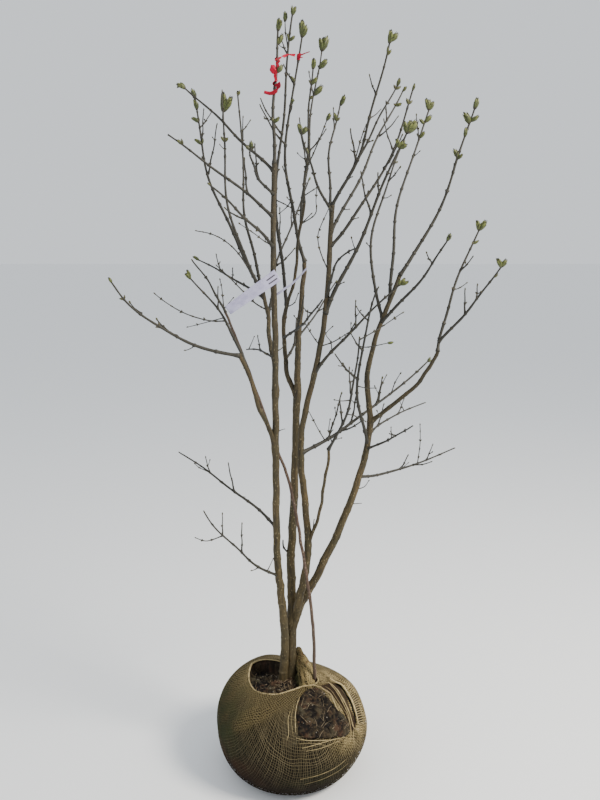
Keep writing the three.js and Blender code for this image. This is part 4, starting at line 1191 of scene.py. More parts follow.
# The shoots: slim dark grey-brown wood of the last years, with a thick node at every pair of buds.
# Each leader carries a few side twigs, grown by the same seeded rule as in the model.
SHOOTS = [
    ("low_left_shoot", "left_stem", 612, -133, 268, 260, 21, -9, 3.6, 1.6, 2),
    ("left_low_shoot", "left_stem", 766, 151, 330, 174, 6, 26, 4, 1.8, 2),
    ("far_left_shoot", "left_bough", 1266, -166, 302, 183, 29, -28, 4.2, 1.8, 2),
    ("left_bough_shoot", "left_bough", 1233, 144, 191, 225, 7, 27, 4, 1.8, 3),
    ("young_top_shoot", "young_stem", 1359, 160, 98, 139, 0, 6, 3, 1.8, 2),
    ("short_left_shoot", "left_stem", 1246, 116, 197, 5, -10, 0, 3, 1.6, 1),
    ("tall_left_shoot", "back_bough", 1419, 138, 263, 543, 16, -30, 4.6, 2, 3),
    ("upright_left_shoot", "back_bough", 1407, 176, 102, 484, 35, -31, 4.2, 2, 1),
    ("tall_back_shoot", "back_bough", 1433, 106, 277, 562, 66, -7, 4.2, 2, 2),
    ("flat_back_shoot", "back_bough", 1395, 139, 285, 111, 1, 13, 3.6, 1.8, 2),
    ("cross_back_shoot", "back_bough", 1345, 71, 347, 395, 40, -29, 4, 1.8, 3),
    ("front_left_shoot", "left_stem", 1533, -118, 274, 128, 3, 9, 4, 1.8, 2),
    ("left_rise_shoot", "left_stem", 1607, -163, 258, 186, 7, 17, 4, 1.8, 2),
    ("left_high_shoot", "left_stem", 1717, 155, 271, 232, 5, 8, 3.8, 1.8, 2),
    ("front_hook_shoot", "left_stem", 1661, -98, 276, 73, -6, -20, 3.4, 1.6, 1),
    ("left_leader", "left_stem", 1735, 72, 34, 327, 5, -4, 4.2, 2.2, 0),
    ("top_leader", "fork_bough", 1371, -71, 62, 770, 12, -30, 4.6, 2.2, 2),
    ("inner_shoot", "inner_bough", 1650, -57, 41, 326, 9, -3, 3.4, 1.8, 0),
    ("inner_right_shoot", "inner_bough", 1600, 70, 167, 469, 44, -12, 3.4, 1.8, 3),
    ("front_middle_shoot", "fork_bough", 1280, -72, 324, 124, 3, 9, 3.6, 1.8, 2),
    ("back_middle_shoot", "fork_bough", 1220, 56, 274, 212, 33, -21, 3.6, 1.8, 2),
    ("middle_leader", "middle_stem", 1495, -97, 72, 567, 28, -43, 4.6, 2, 2),
    ("top_front_shoot", "crossing_stem", 1638, -39, 166, 372, 36, 8, 4, 1.8, 2),
    ("crossing_front_shoot", "crossing_stem", 1623, -111, 221, 166, 3, -9, 3.4, 1.6, 1),
    ("crossing_back_shoot", "crossing_stem", 1608, 80, 207, 334, 9, -19, 3.6, 1.8, 1),
    ("side_back_shoot", "crossing_stem", 1569, 44, 290, 399, 24, -12, 4, 1.8, 2),
    ("side_middle_shoot", "top_front_shoot", 1701, 7, 124, 227, 1, -2, 3, 1.6, 1),
    ("side_front_shoot", "crossing_stem", 1535, 0, 207, 394, 25, 20, 4, 1.8, 2),
    ("outer_front_shoot", "crossing_stem", 1361, -30, 223, 448, 17, -6, 5.4, 2, 2),
    ("front_curl_shoot", "crossing_stem", 1401, -74, 229, 127, -26, -12, 3.2, 1.6, 1),
    ("under_right_shoot", "crossing_stem", 1197, -14, 234, 249, 13, -25, 4.2, 1.8, 2),
    ("long_right_shoot", "crossing_stem", 974, 26, 418, 233, 23, -5, 5, 2, 4),
    ("rising_shoot", "rising_bough", 1010, -63, 147, 306, 12, 17, 3.6, 1.8, 3),
    ("right_outer_shoot", "right_bough", 1268, 24, 119, 318, 25, -21, 4, 2, 1),
    ("right_front_shoot", "right_outer_shoot", 1293, -42, 168, 196, 4, 4, 3.6, 1.8, 2),
    ("low_right_shoot", "right_stem", 894, 34, 375, 29, 23, -25, 4, 1.8, 3),
    ("right_front_twig", "right_stem", 973, -66, 232, 115, -1, 10, 3.2, 1.6, 1),
    ("right_back_twig", "right_stem", 1008, 47, 277, 60, 2, -33, 3.4, 1.6, 2),
    ("near_right_shoot", "right_stem", 988, -91, 232, 445, -1, -35, 4.4, 1.8, 3),
    ("back_right_shoot", "right_stem", 1345, 69, 177, 474, 24, -53, 4.2, 2, 1),
    ("tall_right_shoot", "right_stem", 1395, 57, 231, 534, 15, -31, 4.4, 2, 1),
    ("right_out_shoot", "right_stem", 1335, -57, 251, 222, 2, 11, 4, 1.8, 1),
    ("right_leader", "right_stem", 1461, 0, 183, 428, 45, 4, 4.6, 2, 1),
]
NODE_SPACING = 46
TWIG_CLEARANCE = 4


def seeded(seed):
    state = seed * 7919 + 17

    def draw():
        nonlocal state
        state = state * 16807 % 2147483647
        return state / 2147483647

    return draw


def spots_along(path, radius_at, spacing, length):
    """Points along a limb with their radius, as rows of four numbers."""
    count = max(2, math.ceil(length / spacing))
    return np.array([[*path(i / count), radius_at(i / count)] for i in range(count + 1)])


def is_clear(spots, others, clearance=TWIG_CLEARANCE):
    away = np.linalg.norm(spots[:, None, :3] - others[None, :, :3], axis=2)
    return bool((away > spots[:, None, 3] + others[None, :, 3] + clearance).all())


def pair_directions(path, t, node):
    """The two directions, square to a shoot, in which the buds at a node point."""
    along = direction_at(path, t)
    level = np.cross([0, 0, 1], along)
    level /= np.linalg.norm(level)
    side = level if node % 2 else np.cross(along, level)
    return side, -side


def tapered(foot, tip):
    return lambda t: foot + (tip - foot) * t


leaders = [grow_from(*row[:10], 105) for row in SHOOTS]
skeleton = {}
for limb in limbs.values():
    skeleton[limb["name"]] = spots_along(limb["path"], limb["radius_at"], 10, limb["length"])


# The label and the tape keep the twigs clear of them too, so their lines are laid out here.
TAG_HEIGHT = 1456
TAG_END = np.array([-158.0, -134, 1375])
TAG_TAIL_END = np.array([40.0, -128, 1475])
TAG_WIDTH, TAIL_WIDTH = 32, 7
TAPE_LOW, TAPE_HIGH, KNOT_HEIGHT = 1908, 2004, 2016
TAPE_TAIL_END = np.array([52.0, 22, 2034])
TAPE_DROOP_END = np.array([-62.0, -96, 1906])
left_stem, left_leader, middle_leader = limbs["left_stem"], limbs["left_leader"], limbs["middle_leader"]
tag_share = share_at_height(left_stem, TAG_HEIGHT)
tag_centre = left_stem["path"](tag_share)
tag_inner = left_stem["radius_at"](tag_share) * 1.14 + 0.6
tag_front = tag_centre + np.array([0, -tag_inner - 0.9, 0])


def bowed_line(start, end, bow):
    along = (end - start) / np.linalg.norm(end - start)
    normal = np.array([0, -1.0, 0]) + along * along[1]
    normal /= np.linalg.norm(normal)
    return (lambda t: start + (end - start) * t + normal * bow * math.sin(math.pi * t)), along, normal


tag_line, tag_along, tag_normal = bowed_line(tag_front + np.array([3, 0, 0]), TAG_END, 5)
tail_line, tail_along, tail_normal = bowed_line(tag_front + np.array([-2, 0, -9]), TAG_TAIL_END, 5)
for name, line, end, reach in (
    ("label_strip", tag_line, TAG_END, TAG_WIDTH / 2),
    ("label_tail", tail_line, TAG_TAIL_END, TAIL_WIDTH / 2),
):
    skeleton[name] = spots_along(line, lambda t: reach, 10, np.linalg.norm(end - line(0)))


def tape_seat(limb, height):
    share = share_at_height(limb, height)
    return limb["path"](share) + np.array([0, -limb["radius_at"](share) - 1.6, 0])


knot = tape_seat(middle_leader, KNOT_HEIGHT)
TAPE_STRANDS = {
    "tape_twist": (tape_seat(left_leader, TAPE_HIGH - 6), knot, lambda t: 2.4),
    "tape_tail": (knot, TAPE_TAIL_END, tapered(2.4, 1)),
    "tape_end": (tape_seat(left_leader, TAPE_LOW + 8), TAPE_DROOP_END, tapered(2.4, 3)),
}
for name, (start, end, radius_at) in TAPE_STRANDS.items():
    skeleton[name] = spots_along(limb_path(start, end, 3, 0, 1), radius_at, 8, np.linalg.norm(end - start))

bud_seats = []
spray_tone = {}
grown_twigs = []
for index, shoot in enumerate(leaders):
    draw = seeded(index + 1)
    nodes = math.floor(shoot["length"] / NODE_SPACING)
    wanted = SHOOTS[index][10]
    others = np.concatenate([spots for name, spots in skeleton.items() if name != shoot["name"]])
    taken = set()
    for node in range(nodes - 2, 1, -1):
        if len(taken) >= wanted:
            break
        if draw() >= 0.62:
            continue
        t = node / nodes
        start = shoot["spine"](t)
        along = direction_at(shoot["path"], t)
        one, other = pair_directions(shoot["path"], t, node)
        side = one if one[2] > other[2] else other
        reach = min(150, max(45, shoot["length"] * (0.2 + 0.2 * draw()) * (1.15 - t)))
        lean = 0.75 + 0.25 * draw()
        end = start + along * reach * 0.62 + side * reach * lean * 0.72 + np.array([0, 0, reach * 0.12])
        path = limb_path(start, end, reach * 0.07, 0, node)
        foot = min(shoot["radius_at"](t) * 0.8, 2.6)
        radius_at = tapered(foot, foot * 0.6)
        spots = spots_along(path, radius_at, 10, reach)
        spots[-1, 3] = 7
        if is_clear(spots, others):
            grown_twigs.append({
                "shoot": index, "path": path, "radius_at": radius_at, "length": reach, "node": node,
            })
            skeleton[f"{shoot['name']}_twig_{node}"] = spots
            taken.add(node)
    shoot["taken"] = taken
    shoot["nodes"] = nodes


STOUTER = 1.12


def wood_body(path, length, radius_at, nodes, sides, step, collar, parent_radius, seed):
    """A shoot's wood, in as many even lengths as the number given, and thick at each node between."""
    node_run = [node / nodes * length for node in range(1, nodes)]
    run = np.linspace(0, length, max(4, int(length / step)))
    near = [place + shift for place in node_run for shift in (-4.0, -1.8, 0.0, 1.8, 4.0)]
    run = np.unique(np.clip(np.concatenate([run, near]), 0, length).round(2))
    run = run[np.concatenate([[True], np.diff(run) > 0.8])]
    line = np.array([path(distance / length) for distance in run])
    radii = np.array([radius_at(distance / length) for distance in run]) * STOUTER
    for place in node_run:
        radii = radii * (1 + 0.42 * hill(run - place, 2.6))
    radii = radii * (1 + collar * np.exp(-np.maximum(0, run - parent_radius) / 5))
    radii = radii * (1 + 0.05 * np.sin(run / 7 + seed))
    crooked = np.column_stack([np.sin(run / 31 + seed), np.cos(run / 27 + seed * 2), 0 * run])
    line = line + crooked * (0.6 * np.clip(run / 30, 0, 1) * np.clip((length - run) / 25, 0, 1))[:, None]
    return round_tube(line, radii, sides)


# Buds seen in the picture, by the limb that carries them: the pixel where each starts, the pixel
# where it ends, and how stout it is.
SEEN_BUDS = {
    "left_high_shoot": [
        (184.5, 88.8, 176, 84, 0.9), (185, 88, 180, 82.6, 0.9), (180.5, 86, 177, 88, 0.9),
    ],
    "tall_left_shoot": [
        (194.6, 98.5, 191, 88, 0.9), (195.5, 110, 193.5, 99, 0.9), (195, 110, 196.5, 101, 0.8),
        (196, 122, 191, 118, 1), (196.5, 122, 198, 117, 1), (200, 145, 194, 139.5, 1),
        (200.5, 145, 203, 138, 0.9),
    ],
    "upright_left_shoot": [
        (224, 110.5, 222.5, 91, 0.75), (225, 110.5, 231.5, 95.5, 0.85), (224.5, 111, 226, 98, 0.7),
        (224, 142, 220.5, 136.5, 1), (224.5, 142, 228, 137, 1),
    ],
    "tall_back_shoot": [(238.5, 95, 239.5, 90, 1.1), (238.5, 95, 236.5, 91.5, 1)],
    "left_rise_shoot": [(180, 147, 176, 139.5, 1), (181.5, 147.5, 181, 138.5, 0.8)],
    "front_hook_shoot": [(249.5, 150, 251, 140, 1), (249, 150, 245, 145.5, 1), (251, 150, 254, 146, 1)],
    "left_leader": [
        (279, 31, 278.5, 17.5, 0.9), (278.8, 30, 281.5, 19.5, 0.8), (279.5, 45, 282.7, 33, 0.85),
        (279, 45, 277.8, 37, 0.7), (278, 73, 282.5, 64.5, 1.1), (276, 122, 271.5, 117, 1),
        (276.5, 122, 279.5, 116.5, 1),
    ],
    "top_leader": [
        (293, 14.5, 291.8, 5, 0.9), (293, 14.5, 295.6, 6, 0.9), (292.5, 42.5, 295, 35.5, 1),
        (291, 42, 287, 33, 0.6),
    ],
    "middle_leader": [
        (302.3, 36, 301.6, 19, 0.8), (303, 35.5, 306.4, 24, 0.9), (302.2, 35, 299.6, 22, 0.8),
        (296, 82, 290.5, 76, 0.8),
    ],
    "inner_shoot": [
        (312.7, 68.5, 313.4, 57.5, 1.1), (312, 84, 317.5, 76.5, 1), (311.5, 84, 308.5, 80, 1),
        (311, 100, 313, 95, 1),
    ],
    "inner_right_shoot": [
        (321, 50.5, 319.3, 37.5, 0.9), (322, 50.5, 323.3, 36.5, 0.8), (322.5, 50, 327.4, 35, 0.8),
        (320.5, 69, 327, 58.5, 1.1), (320.5, 69, 317.5, 65, 1), (319.5, 97, 322.5, 84.5, 0.9),
        (319, 97, 316, 92, 1),
    ],
    "crossing_front_shoot": [
        (300.7, 134, 297.6, 123.5, 1), (301, 134, 306.8, 126, 1.1), (301.5, 157, 305, 147.5, 1),
    ],
    "crossing_back_shoot": [
        (341.5, 106, 344.6, 94, 0.9), (337.5, 121.5, 333.8, 112.5, 0.9), (338, 121.5, 340, 117, 1),
    ],
    "top_front_shoot": [
        (391, 42.5, 390.3, 29, 0.9), (391.5, 42, 397.8, 32, 1), (389, 54, 387.7, 46, 0.8),
        (389, 55, 391.5, 49, 0.8),
    ],
    "side_middle_shoot": [(398, 86, 399.5, 77.5, 1), (397, 90, 393.5, 84.5, 1), (397.5, 90, 401, 86, 1)],
    "side_back_shoot": [
        (404, 92, 406.5, 86, 1.1), (400, 109, 393.5, 103.5, 1), (400.5, 109, 402, 103, 1),
    ],
    "side_front_shoot": [(413, 91, 414.5, 83, 1), (410, 104, 406, 98, 1), (410.5, 104, 412.5, 100, 1)],
    "outer_front_shoot": [
        (407.5, 133, 404, 120.5, 1.1), (408.5, 133.5, 410.5, 119.5, 1), (409, 133, 417, 119.5, 1.1),
        (399.5, 147, 395.5, 138.5, 1), (400.5, 149, 407.5, 143.5, 1), (400, 148, 402.5, 139, 0.9),
    ],
    "tall_right_shoot": [
        (429.5, 110, 425.5, 98, 0.9), (430, 110, 433.5, 101, 1), (429.8, 109, 429.5, 99, 0.8),
        (425, 123.5, 418.8, 119, 1), (425.5, 123, 431.5, 114.5, 1), (419.5, 138, 424.5, 131, 1),
        (419, 138, 416.5, 133.5, 1),
    ],
    "right_leader": [
        (474, 108.5, 476.8, 97, 1), (469, 122, 463, 112, 1), (469.5, 122, 479, 115, 1),
        (464.5, 137.5, 465.5, 127, 0.9), (457, 158, 453, 148.5, 1), (457.5, 158.5, 462.7, 153.5, 1),
    ],
    "right_outer_shoot": [
        (480, 231.5, 476.3, 220, 1), (480.5, 231.5, 486, 219.5, 1), (476, 246, 472.5, 241, 1),
        (476.5, 246, 479, 240, 1),
    ],
    "right_front_shoot": [
        (501.5, 267.5, 496.5, 258, 1), (502, 267.5, 506.3, 258.5, 1), (495, 279, 498, 273, 1),
    ],
    "right_out_shoot": [(449.5, 242, 450.5, 232.5, 1), (444, 257, 441, 252, 1)],
    "under_right_shoot": [
        (400.5, 286.5, 405, 277.5, 1), (400, 287, 399.3, 279, 0.9), (400.8, 286.5, 409, 281, 0.9),
    ],
    "flat_back_shoot": [(198, 262, 192.5, 256.5, 0.9)],
    "left_bough_shoot": [(190.5, 279, 184.5, 273.5, 1), (190, 278.5, 186.5, 269.5, 0.9)],
}
# The other shoots' buds in millimetres: how many stand at the tip and how long they are, then the
# length of the pair at the first and at the second node below.
TIP_BUDS = {
    "front_left_shoot": (1, 11, 7, 5), "far_left_shoot": (1, 15, 9, 6), "cross_back_shoot": (1, 14, 9, 7),
    "back_right_shoot": (1, 16, 11, 8), "long_right_shoot": (2, 16, 8, 6), "back_middle_shoot": (1, 12, 8, 6),
}
SMALL_TIP = (1, 8, 6, 5)

# Twigs seen in the picture: the limb each grows on, how far its tip leans back, its radius at the
# foot, the length of its tip bud, and the pixels that it runs through.
SEEN_TWIGS = [
    ("low_left_shoot", -25, 1.5, 6, (220, 539), (207, 541), (196, 538)),
    ("low_left_shoot", 14, 1.3, 6, (268, 569), (273, 559)),
    ("left_low_shoot", 20, 1.4, 6, (205, 478), (200, 468), (195, 464)),
    ("left_bough_shoot", -40, 1.7, 7, (223, 322), (212, 321), (195, 317), (180, 311), (165, 302),
     (155, 294)),
    ("left_bough_shoot", 15, 1.2, 6, (216, 322), (204, 323), (188, 327)),
    ("young_top_shoot", 25, 1.4, 7, (226, 308), (222, 290), (220, 280)),
    ("young_top_shoot", -25, 1.2, 6, (226, 308), (233, 298)),
    ("short_left_shoot", 25, 1.2, 6, (249, 351), (254, 337)),
    ("back_bough", 45, 1.9, 7, (262, 311), (255, 303), (240, 288), (228, 276), (217, 266)),
    ("tall_left_shoot", 40, 1.8, 8, (256, 278), (239, 254), (225, 241), (211, 234), (197, 231)),
    ("front_left_shoot", -35, 1.4, 7, (274, 245), (263, 240), (255, 234), (240, 224)),
    ("inner_right_shoot", 20, 1.5, 8, (300, 197), (310, 192), (316, 188), (317, 184)),
    ("inner_shoot", -35, 1.9, 21, (301, 178), (306, 169), (313, 154), (322, 133), (327, 120)),
    ("inner_bough", 25, 1.5, 8, (312, 226), (315, 214), (316, 200), (317, 186)),
    ("inner_bough", -12, 1.5, 7, (312, 226), (311, 214)),
    ("middle_leader", -22, 1.4, 17, (290, 115), (292, 108), (292, 103)),
    ("middle_leader", -30, 1.9, 8, (296, 197), (289, 184), (283, 168)),
    ("middle_leader", 22, 1.5, 7, (296, 199), (288, 206), (280, 213)),
    ("top_leader", -25, 1.5, 7, (281, 200), (288, 206), (298, 214)),
    ("fork_bough", -20, 1.5, 7, (289, 308), (294, 303), (298, 294)),
    ("crossing_stem", -35, 1.5, 8, (325, 272), (321, 254), (318, 238), (321, 226), (329, 208)),
    ("crossing_stem", 25, 1.6, 8, (321, 346), (333, 342), (345, 335), (354, 329)),
    ("crossing_stem", -25, 1.5, 7, (316, 345), (313, 336), (305, 323)),
    ("under_right_shoot", -18, 1.3, 7, (331, 350), (331, 342), (326, 334), (332, 327)),
    ("left_stem", 20, 1.5, 7, (277, 353), (281, 349), (284, 345)),
    ("rising_shoot", 30, 1.5, 8, (360, 340), (378, 329), (402, 313)),
    ("rising_shoot", -20, 1.4, 15, (357, 346), (368, 347), (388, 343)),
    ("long_right_shoot", 20, 1.5, 8, (376, 398), (381, 388), (386, 376)),
    ("long_right_shoot", -25, 1.5, 9, (390, 392), (395, 383), (400, 374)),
    ("low_right_shoot", -20, 1.5, 7, (418, 465), (420, 445), (420, 425)),
    ("low_right_shoot", 15, 1.2, 6, (402, 469), (408, 463)),
    ("right_front_twig", 10, 1.2, 6, (391, 437), (391, 428)),
    ("right_back_twig", -10, 1.2, 6, (404, 411), (400, 402)),
    ("near_right_shoot", -20, 1.4, 7, (357, 386), (366, 388), (375, 388)),
    ("rising_shoot", -20, 1.4, 7, (329, 441), (329, 432), (330, 420)),
    ("rising_shoot", 15, 1.2, 6, (332, 439), (341, 438)),
    ("long_right_shoot", 20, 1.5, 7, (326, 442), (317, 427), (308, 410)),
    ("rising_shoot", 20, 1.3, 7, (344, 413), (355, 416), (365, 421)),
    ("rising_shoot", -15, 1.3, 6, (350, 400), (342, 401), (335, 400)),
    ("crossing_stem", 10, 1.8, 5, (310, 540), (312.5, 530), (314, 520)),
    ("middle_stem", -12, 2.8, 0, (287, 556), (284, 548), (283, 540)),
    ("left_low_shoot", 8, 1.2, 4, (243, 493), (245, 497)),
    ("right_stem", 5, 1.3, 4, (353, 505), (357, 503.5), (361, 503.3)),
    ("right_stem", 8, 1.4, 6, (360, 492), (364, 487), (368.5, 481)),
    ("left_stem", -8, 1.1, 4, (279, 434), (281, 430), (284.5, 429)),
    ("top_leader", 4, 1.7, 27, (288, 48), (285.5, 34), (285, 21)),
    ("top_front_shoot", -12, 1.6, 6, (353, 172), (360, 143), (366, 125)),
]


def through(spots):
    """A path that runs from 0 to 1 through the spots of a line."""
    last = len(spots) - 1

    def path(t):
        place = min(max(t, 0), 1) * last
        index = min(int(place), last - 1)
        return spots[index] + (spots[index + 1] - spots[index]) * (place - index)

    return path


def seat_pairs(path, radius_at, nodes, least, spread, tone, ripe):
    """Seats for a pair of small buds at each node of a twig."""
    for node in range(1, nodes):
        t = node / nodes
        for side in pair_directions(path, t, node):
            size = least + spread * chance.random()
            seat = path(t) + side * radius_at(t) * 0.6
            bud_seats.append((seat, direction_at(path, t), side, size, tone, ripe))


chance = random.Random(7)
leader_parts, leader_tones = [], []
twig_parts, twig_tones = [], []
fine_parts, fine_tones = [], []
tips = []
seen_buds = []
for index, shoot in enumerate(leaders):
    tone = chance.random()
    spray_tone[index] = tone
    seen_seats = []
    along_shoot = np.array([shoot["path"](t) for t in np.linspace(0, 1, 120)])
    for seat_across, seat_down, tip_across, tip_down, stoutness in SEEN_BUDS.get(shoot["name"], []):
        apart = ((to_picture(along_shoot) - (seat_across, seat_down)) ** 2).sum(1)
        near = along_shoot[int(np.argmin(apart))]
        depth = near[1] + chance.uniform(-9, 2)
        pointing = from_picture((tip_across, tip_down), depth) - near
        seen_seats.append(near)
        seen_buds.append((near, pointing, float(np.linalg.norm(pointing)), tone, stoutness))
    length, nodes = shoot["length"], shoot["nodes"]
    path, radius_at = shoot["path"], shoot["radius_at"]
    share = share_at_height(shoot["parent"], path(0)[2])
    parent_radius = shoot["parent"]["radius_at"](share)
    leader_parts.append(wood_body(path, length, radius_at, nodes, 11, 7, 0.45, parent_radius, index))
    leader_tones.append(tone)
    count, tip_size, next_size, second_size = TIP_BUDS.get(shoot["name"], SMALL_TIP)
    for node in range(1, nodes):
        t = node / nodes
        below = nodes - node
        small = 4.2 + 2.6 * chance.random() + max(0, 6 - below) * 0.5
        size = {1: next_size, 2: second_size}.get(below, small)
        if node in shoot["taken"] or (t < 0.2 and chance.random() < 0.6):
            continue
        if any(np.linalg.norm(path(t) - seat) < 34 for seat in seen_seats):
            continue
        ripe = min(1, max(0, (size - 6) / 9))
        for side in pair_directions(path, t, node):
            if below > 2 and chance.random() < 0.16:
                continue
            bud_seats.append((path(t) + side * radius_at(t) * 0.6, direction_at(path, t), side,
                              size * chance.uniform(0.85, 1.12), tone, ripe))
    if seen_seats:
        continue
    side, other_side = pair_directions(path, 1, nodes)
    leanings = {1: [0 * side], 2: [side * 0.30, other_side * 0.30]}
    ripe = min(1, max(0, (tip_size - 6) / 9))
    for order, leaning in enumerate(leanings[count]):
        size = tip_size * (1, 0.86)[order]
        tips.append((path(1) + leaning * 4, direction_at(path, 1) + leaning, size, tone, ripe))
for twig in grown_twigs:
    tone = spray_tone[twig["shoot"]]
    length, path, radius_at = twig["length"], twig["path"], twig["radius_at"]
    nodes = max(2, int(length / 26))
    seed = twig["node"] + twig["shoot"]
    twig_parts.append(wood_body(path, length, radius_at, nodes, 8, 6, 0.5, 3.0, seed))
    twig_tones.append(tone)
    seat_pairs(path, radius_at, nodes, 4, 2.5, tone, 0.15)
    tip_size = min(14, 6 + TIP_BUDS.get(leaders[twig["shoot"]]["name"], SMALL_TIP)[1] * 0.25)
    tips.append((path(1), direction_at(path, 1), tip_size, tone, (tip_size - 6) / 9))
for number, (parent_name, lean, foot, bud, *pixels) in enumerate(SEEN_TWIGS):
    parent = limbs[parent_name]
    shares = np.linspace(0, 1, 240)
    on_parent = np.array([parent["path"](t) for t in shares])
    nearest = int(np.argmin(((to_picture(on_parent) - pixels[0]) ** 2).sum(1)))
    start = on_parent[nearest]
    steps = [start]
    for order, pixel in enumerate(pixels[1:], 1):
        steps.append(from_picture(pixel, start[1] + lean * order / (len(pixels) - 1)))
    spots = smooth_run(steps, 40)
    path = through(spots)
    length = float(np.linalg.norm(np.diff(spots, axis=0), axis=1).sum())
    radius_at = tapered(foot, foot * 0.62)
    nodes = max(1, int(length / 25))
    tone = chance.random()
    fine_parts.append(wood_body(path, length, radius_at, nodes, 8, 5, 0.5, 3.0, number))
    fine_tones.append(tone)
    seat_pairs(path, radius_at, nodes, 4, 2.5, tone, 0.15)
    if bud:
        tips.append((path(1), direction_at(path, 1), bud, tone, min(1, max(0, (bud - 6) / 9))))
    skeleton[f"seen_twig_{number}"] = spots_along(path, radius_at, 8, length)


# Finer twigs: short spurs at the nodes of the leaders and of the side twigs, grown on by the same
# rule, each kept clear of every other limb.
def grow_spur(path, t, node, reach, foot, shoot_index, own):
    tone = spray_tone[shoot_index]
    along = direction_at(path, t)
    one, other = pair_directions(path, t, node)
    side = one if chance.random() < 0.5 else other
    start = path(t)
    end = start + along * reach * 0.55 + side * reach * 0.78 + np.array([0, 0, reach * 0.08])
    spur = limb_path(start, end, reach * 0.08, 0, node + shoot_index)
    radius_at = tapered(foot, foot * 0.7)
    spots = spots_along(spur, radius_at, 8, reach)
    spots[-1, 3] = 4
    others = np.concatenate([rows for name, rows in skeleton.items() if name != own])
    if not is_clear(spots[1:], others, 2):
        return
    skeleton[f"spur_{len(skeleton)}"] = spots
    nodes = max(1, int(reach / 19))
    fine_parts.append(wood_body(spur, reach, radius_at, nodes, 6, 6, 0.5, 2.0, node))
    fine_tones.append(tone)
    seat_pairs(spur, radius_at, nodes, 3.5, 2, tone, 0.1)
    tips.append((spur(1), direction_at(spur, 1), 5 + 3.5 * chance.random(), tone, 0.15))


for index, shoot in enumerate(leaders):
    for node in range(2, shoot["nodes"] - 2):
        if node not in shoot["taken"] and chance.random() < 0.17:
            reach = 10 + 36 * chance.random() ** 2
            grow_spur(shoot["path"], node / shoot["nodes"], node, reach, 1.4, index, shoot["name"])
for twig in grown_twigs:
    own = f"{leaders[twig['shoot']]['name']}_twig_{twig['node']}"
    nodes = max(2, int(twig["length"] / 26))
    for node in range(1, nodes):
        if chance.random() < 0.3:
            grow_spur(twig["path"], node / nodes, node, 8 + 18 * chance.random(), 1.1, twig["shoot"], own)

twig_bark, tree, shader = new_finish("twig_bark", 0.62, 0.4)
place = object_place(tree)
colour = mixed(tree, worn(tree, "tone"), (0.011, 0.010, 0.0065), (0.020, 0.0175, 0.011))
colour = mixed(tree, blotches(tree, place, 45, 3, 0.6), colour, (0.028, 0.0245, 0.016))
colour = mixed(tree, specks(tree, place, 330, 0.24, 0.15), colour, (0.060, 0.053, 0.037))
lay_surface(tree, shader, colour, blotches(tree, place, 900, 5, 0.7, 0.2, 0.8), 0.0004, 0.6)

points, faces, tones = joined_parts(leader_parts, leader_tones)
leading = new_piece("leading_shoots", points, faces, twig_bark, {"tone": tones})
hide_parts(*[row[0] for row in SHOOTS])
points, faces, tones = joined_parts(twig_parts, twig_tones)
new_piece("side_twigs", points, faces, twig_bark, {"tone": tones})
points, faces, tones = joined_parts(fine_parts, fine_tones)
new_piece("fine_twigs", points, faces, twig_bark, {"tone": tones})


# The buds: plump and pointed, in opposite pairs, each wrapped in crossed pairs of keeled scales that
# are olive green with brown rims. The largest are breaking, with their scales standing apart.
def scale_patch(turn, size, foot, half_angle, girth, spread, rows=7, columns=7):
    """One bud scale round a bud one unit long, with the value of how near each point is to its tip."""
    points, edge = [], []
    for row in range(rows):
        v = row / (rows - 1)
        angle = half_angle * (1 - v ** 2.6) ** 0.62
        along = foot + (size - foot) * v
        out = girth * max(0.02, math.sin(math.pi * (0.10 + 0.86 * along ** 0.92))) ** 0.75 + spread * v ** 3
        for column in range(columns):
            u = 2 * column / (columns - 1) - 1
            around = turn + u * angle
            lifted = out + 0.030 * (1 - u * u) * girth / 0.2 + 0.008
            rise = along - 0.05 * (1 - v) * u * u
            points.append((lifted * math.cos(around), lifted * math.sin(around), rise))
            edge.append(max(v ** 5, 0.65 * abs(u) ** 5))
    return np.array(points), grid_faces(rows, columns, False), np.array(edge)


def make_bud(scales, girth, sides, rows):
    """A bud one unit long that points up +Z: a closed pointed egg with scales laid round it."""
    shares = np.linspace(0, 1, rows)
    line = np.column_stack([0 * shares, 0 * shares, shares * 0.97])
    body = girth * 0.92 * np.sin(math.pi * (0.10 + 0.87 * shares ** 0.92)) ** 0.75
    points, quads, ends = round_tube(line, body, sides)
    edge = np.concatenate([np.repeat(shares ** 7, sides), [0, 1]])
    for turn, size, foot, half_angle, spread in scales:
        patch, faces, patch_edge = scale_patch(turn, size, foot, half_angle, girth, spread)
        quads = np.concatenate([quads, faces + len(points)])
        points = np.concatenate([points, patch])
        edge = np.concatenate([edge, patch_edge])
    return points, quads, ends, edge, np.clip(points[:, 2], 0, 1)


right_angle = math.pi / 2
SMALL_BUD = make_bud([(0, 0.86, 0.0, 1.35, 0.01), (math.pi, 0.86, 0.0, 1.35, 0.01)], 0.25, 6, 5)
CLOSED_BUD = make_bud([
    (0, 1.0, 0.2, 1.0, 0.01), (math.pi, 1.0, 0.2, 1.0, 0.01), (right_angle, 0.82, 0.08, 1.1, 0.02),
    (-right_angle, 0.82, 0.08, 1.1, 0.02), (0, 0.52, 0.0, 1.15, 0.02), (math.pi, 0.52, 0.0, 1.15, 0.02),
], 0.195, 10, 8)
BREAKING_BUD = make_bud([
    (0, 1.02, 0.3, 0.8, 0.03), (math.pi, 0.98, 0.3, 0.8, 0.04), (right_angle, 0.90, 0.15, 0.9, 0.04),
    (-right_angle, 0.86, 0.15, 0.9, 0.05), (0, 0.66, 0.06, 1.0, 0.045), (math.pi, 0.62, 0.06, 1.0, 0.05),
    (right_angle, 0.42, 0.0, 1.1, 0.04), (-right_angle, 0.40, 0.0, 1.1, 0.04),
], 0.195, 10, 8)


